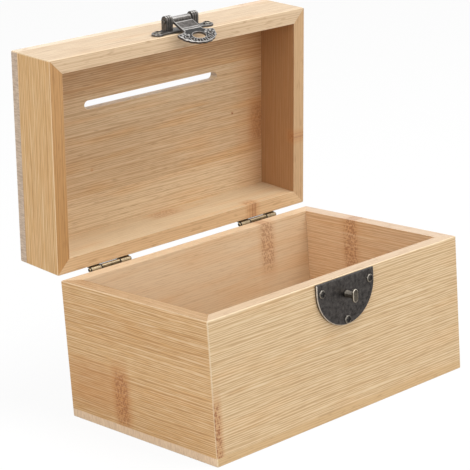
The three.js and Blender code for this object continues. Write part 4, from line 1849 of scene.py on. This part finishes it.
    def ornaments(self) -> list[Piece]:
        """Model what stands out of the flap: collars round its holes, bosses and ridges.

        Returns:
            The solids, dressed, rubbed bright on top and given a painted highlight there.
        """
        ground = self.sheet / 2
        top = ground + self.relief
        solids = self.ovals(self.collar, 0.0, top)
        for collar in solids:
            dress(collar, self.metal.zinc)
            ease(collar, self.collar_arris, at_level(top))
        dome = [
            (0.0, 0.0), (self.boss, 0.0), (self.boss, ground),
            (self.boss_shoulder, top - self.boss_crown), (0.0, top),
        ]
        for side in (-1, 1):
            for x, y in self.bosses:
                boss = dress(turn_profile(dome, facets=14), self.metal.zinc)
                carry(boss, shift(side * x, y, 0.0))
                solids.append(boss)
        reach, foot = self.strap - self.rim, self.ridge_foot
        radii = (self.ridge_half, self.relief + foot)
        for y in self.ridges:
            profile = arc((y, ground - foot), radii, 0, 180, steps=8)
            outline = [Vector((-reach, p.x, p.y)) for p in profile]
            ridge = cut_sheet(outline, ALONG * (2 * reach))
            solids.append(dress(ridge, self.metal.zinc))
        # Painted highlight on the tops of the ornaments, over their rubbed metal
        for solid in solids:
            coat_faces(solid, Coat.WORN, lambda at, up: up.z > self.ornament_highlight)
        return solids


@dataclass(frozen=True)
class SoftLight:
    """A large soft lamp that looks at the chest."""

    name: str
    place: Size
    size: float
    power: float

    def build(self, target: Vector) -> None:
        """Add the lamp.

        Args:
            target: the point it faces, in metres.
        """
        lamp = bpy.data.lights.new(self.name, "AREA")
        lamp.shape = "DISK"
        lamp.size = self.size
        lamp.energy = self.power
        holder = bpy.data.objects.new(self.name, lamp)
        bpy.context.scene.collection.objects.link(holder)
        holder.location = self.place
        holder.rotation_mode = "QUATERNION"
        holder.rotation_quaternion = (target - Vector(self.place)).to_track_quat("-Z", "Y")


@dataclass
class Studio:
    """A white sweep with soft light from above and in front, and the photograph's camera."""

    azimuth: float = -41.4544
    elevation: float = 15.3749
    roll: float = -3.9905
    camera_place: Size = (-711.593, -783.627, 389.677)
    lens: float = 143.307
    sensor: float = 36.0
    clip: tuple[float, float] = (0.05, 50.0)
    floor_size: float = 12.0
    ambient: float = 0.46
    floor_glow: float = 0.92
    floor_bounce: str = "#CECCC8"
    target: Size = (0.0, 0.0, 0.1)
    lights: tuple[SoftLight, ...] = (
        SoftLight("overhead_softbox", (0.35, -0.45, 1.5), 0.9, 16.0),
        SoftLight("front_softbox", (0.35, -1.5, 0.7), 1.0, 6.5),
        SoftLight("left_softbox", (-1.5, -0.3, 0.6), 1.0, 10.0),
    )

    def build(self) -> None:
        """Set up camera, light, world and floor."""
        bpy.context.scene.view_settings.view_transform = "Standard"
        self.camera()
        for light in self.lights:
            light.build(Vector(self.target))
        self.world()
        self.floor()
        LOG.info("studio: camera, %d lamps and floor", len(self.lights))

    def camera(self) -> None:
        """Place the camera where the photograph was taken from."""
        az, el, roll = (math.radians(a) for a in (self.azimuth, self.elevation, self.roll))
        back = Vector((math.sin(az) * math.cos(el), -math.cos(az) * math.cos(el), math.sin(el)))
        level = Vector((math.cos(az), math.sin(az), 0.0))
        up = back.cross(level)
        right = math.cos(roll) * level + math.sin(roll) * up
        top = math.cos(roll) * up - math.sin(roll) * level
        view = Matrix((right, top, back)).transposed().to_4x4()
        view.translation = Vector(self.camera_place) * MM
        data = bpy.data.cameras.new("photograph")
        data.lens = self.lens
        data.sensor_width = self.sensor
        data.clip_start, data.clip_end = self.clip
        holder = bpy.data.objects.new("photograph", data)
        holder.matrix_world = view
        bpy.context.scene.collection.objects.link(holder)
        bpy.context.scene.camera = holder

    def world(self) -> None:
        """Light the scene evenly, and show white to the camera and in reflections."""
        world = bpy.data.worlds.new("white_studio")
        bpy.context.scene.world = world
        drawing = Drawing(world)
        rays = drawing.add("LightPath").outputs
        seen = rays["Is Camera Ray"]
        for other in ("Is Glossy Ray", "Is Transmission Ray"):
            seen = drawing.add("Math", {0: seen, 1: rays[other]}, operation="MAXIMUM")
        strength = drawing.add("MapRange", {"Value": seen, "To Min": self.ambient, "To Max": 1.0})
        sky = drawing.add("Background", {"Color": linear(WHITE), "Strength": strength})
        drawing.add("OutputWorld", {"Surface": sky})

    def floor(self) -> None:
        """Lay a white paper floor, plain to the eye, that keeps the chest's shadow."""
        clear_bench()
        bpy.ops.mesh.primitive_plane_add(size=self.floor_size, location=(0, 0, 0))
        floor = settle()
        floor.name = floor.data.name = "white_floor"
        material = bpy.data.materials.new("White_paper_sweep")
        drawing = Drawing(material)
        seen = drawing.add("LightPath").outputs["Is Camera Ray"]
        tone = drawing.tint(linear(self.floor_bounce), WHITE, seen, (0.0, 1.0))
        paper = drawing.add("BsdfDiffuse", {"Color": tone})
        glow = drawing.add("Emission", {"Color": linear(WHITE), "Strength": 1.0})
        share = drawing.add("Math", {0: seen, 1: self.floor_glow}, operation="MULTIPLY")
        both = drawing.add("MixShader", {0: share, 1: paper, 2: glow})
        drawing.add("OutputMaterial", {"Surface": both})
        dress(floor, [material])


def main() -> None:
    """Build the studio and every part of the chest in turn."""
    logging.basicConfig(level=logging.INFO, format="%(message)s")
    Studio().build()
    Box().build()
    Lid().build()
    metal = MetalShelf()
    screw = WoodScrew(metal)
    ButtHinge(metal, screw).build()
    Catch(metal, screw).build()
    Hasp(metal, screw).build()
    screw.put_away()


if __name__ == "__main__":
    main()
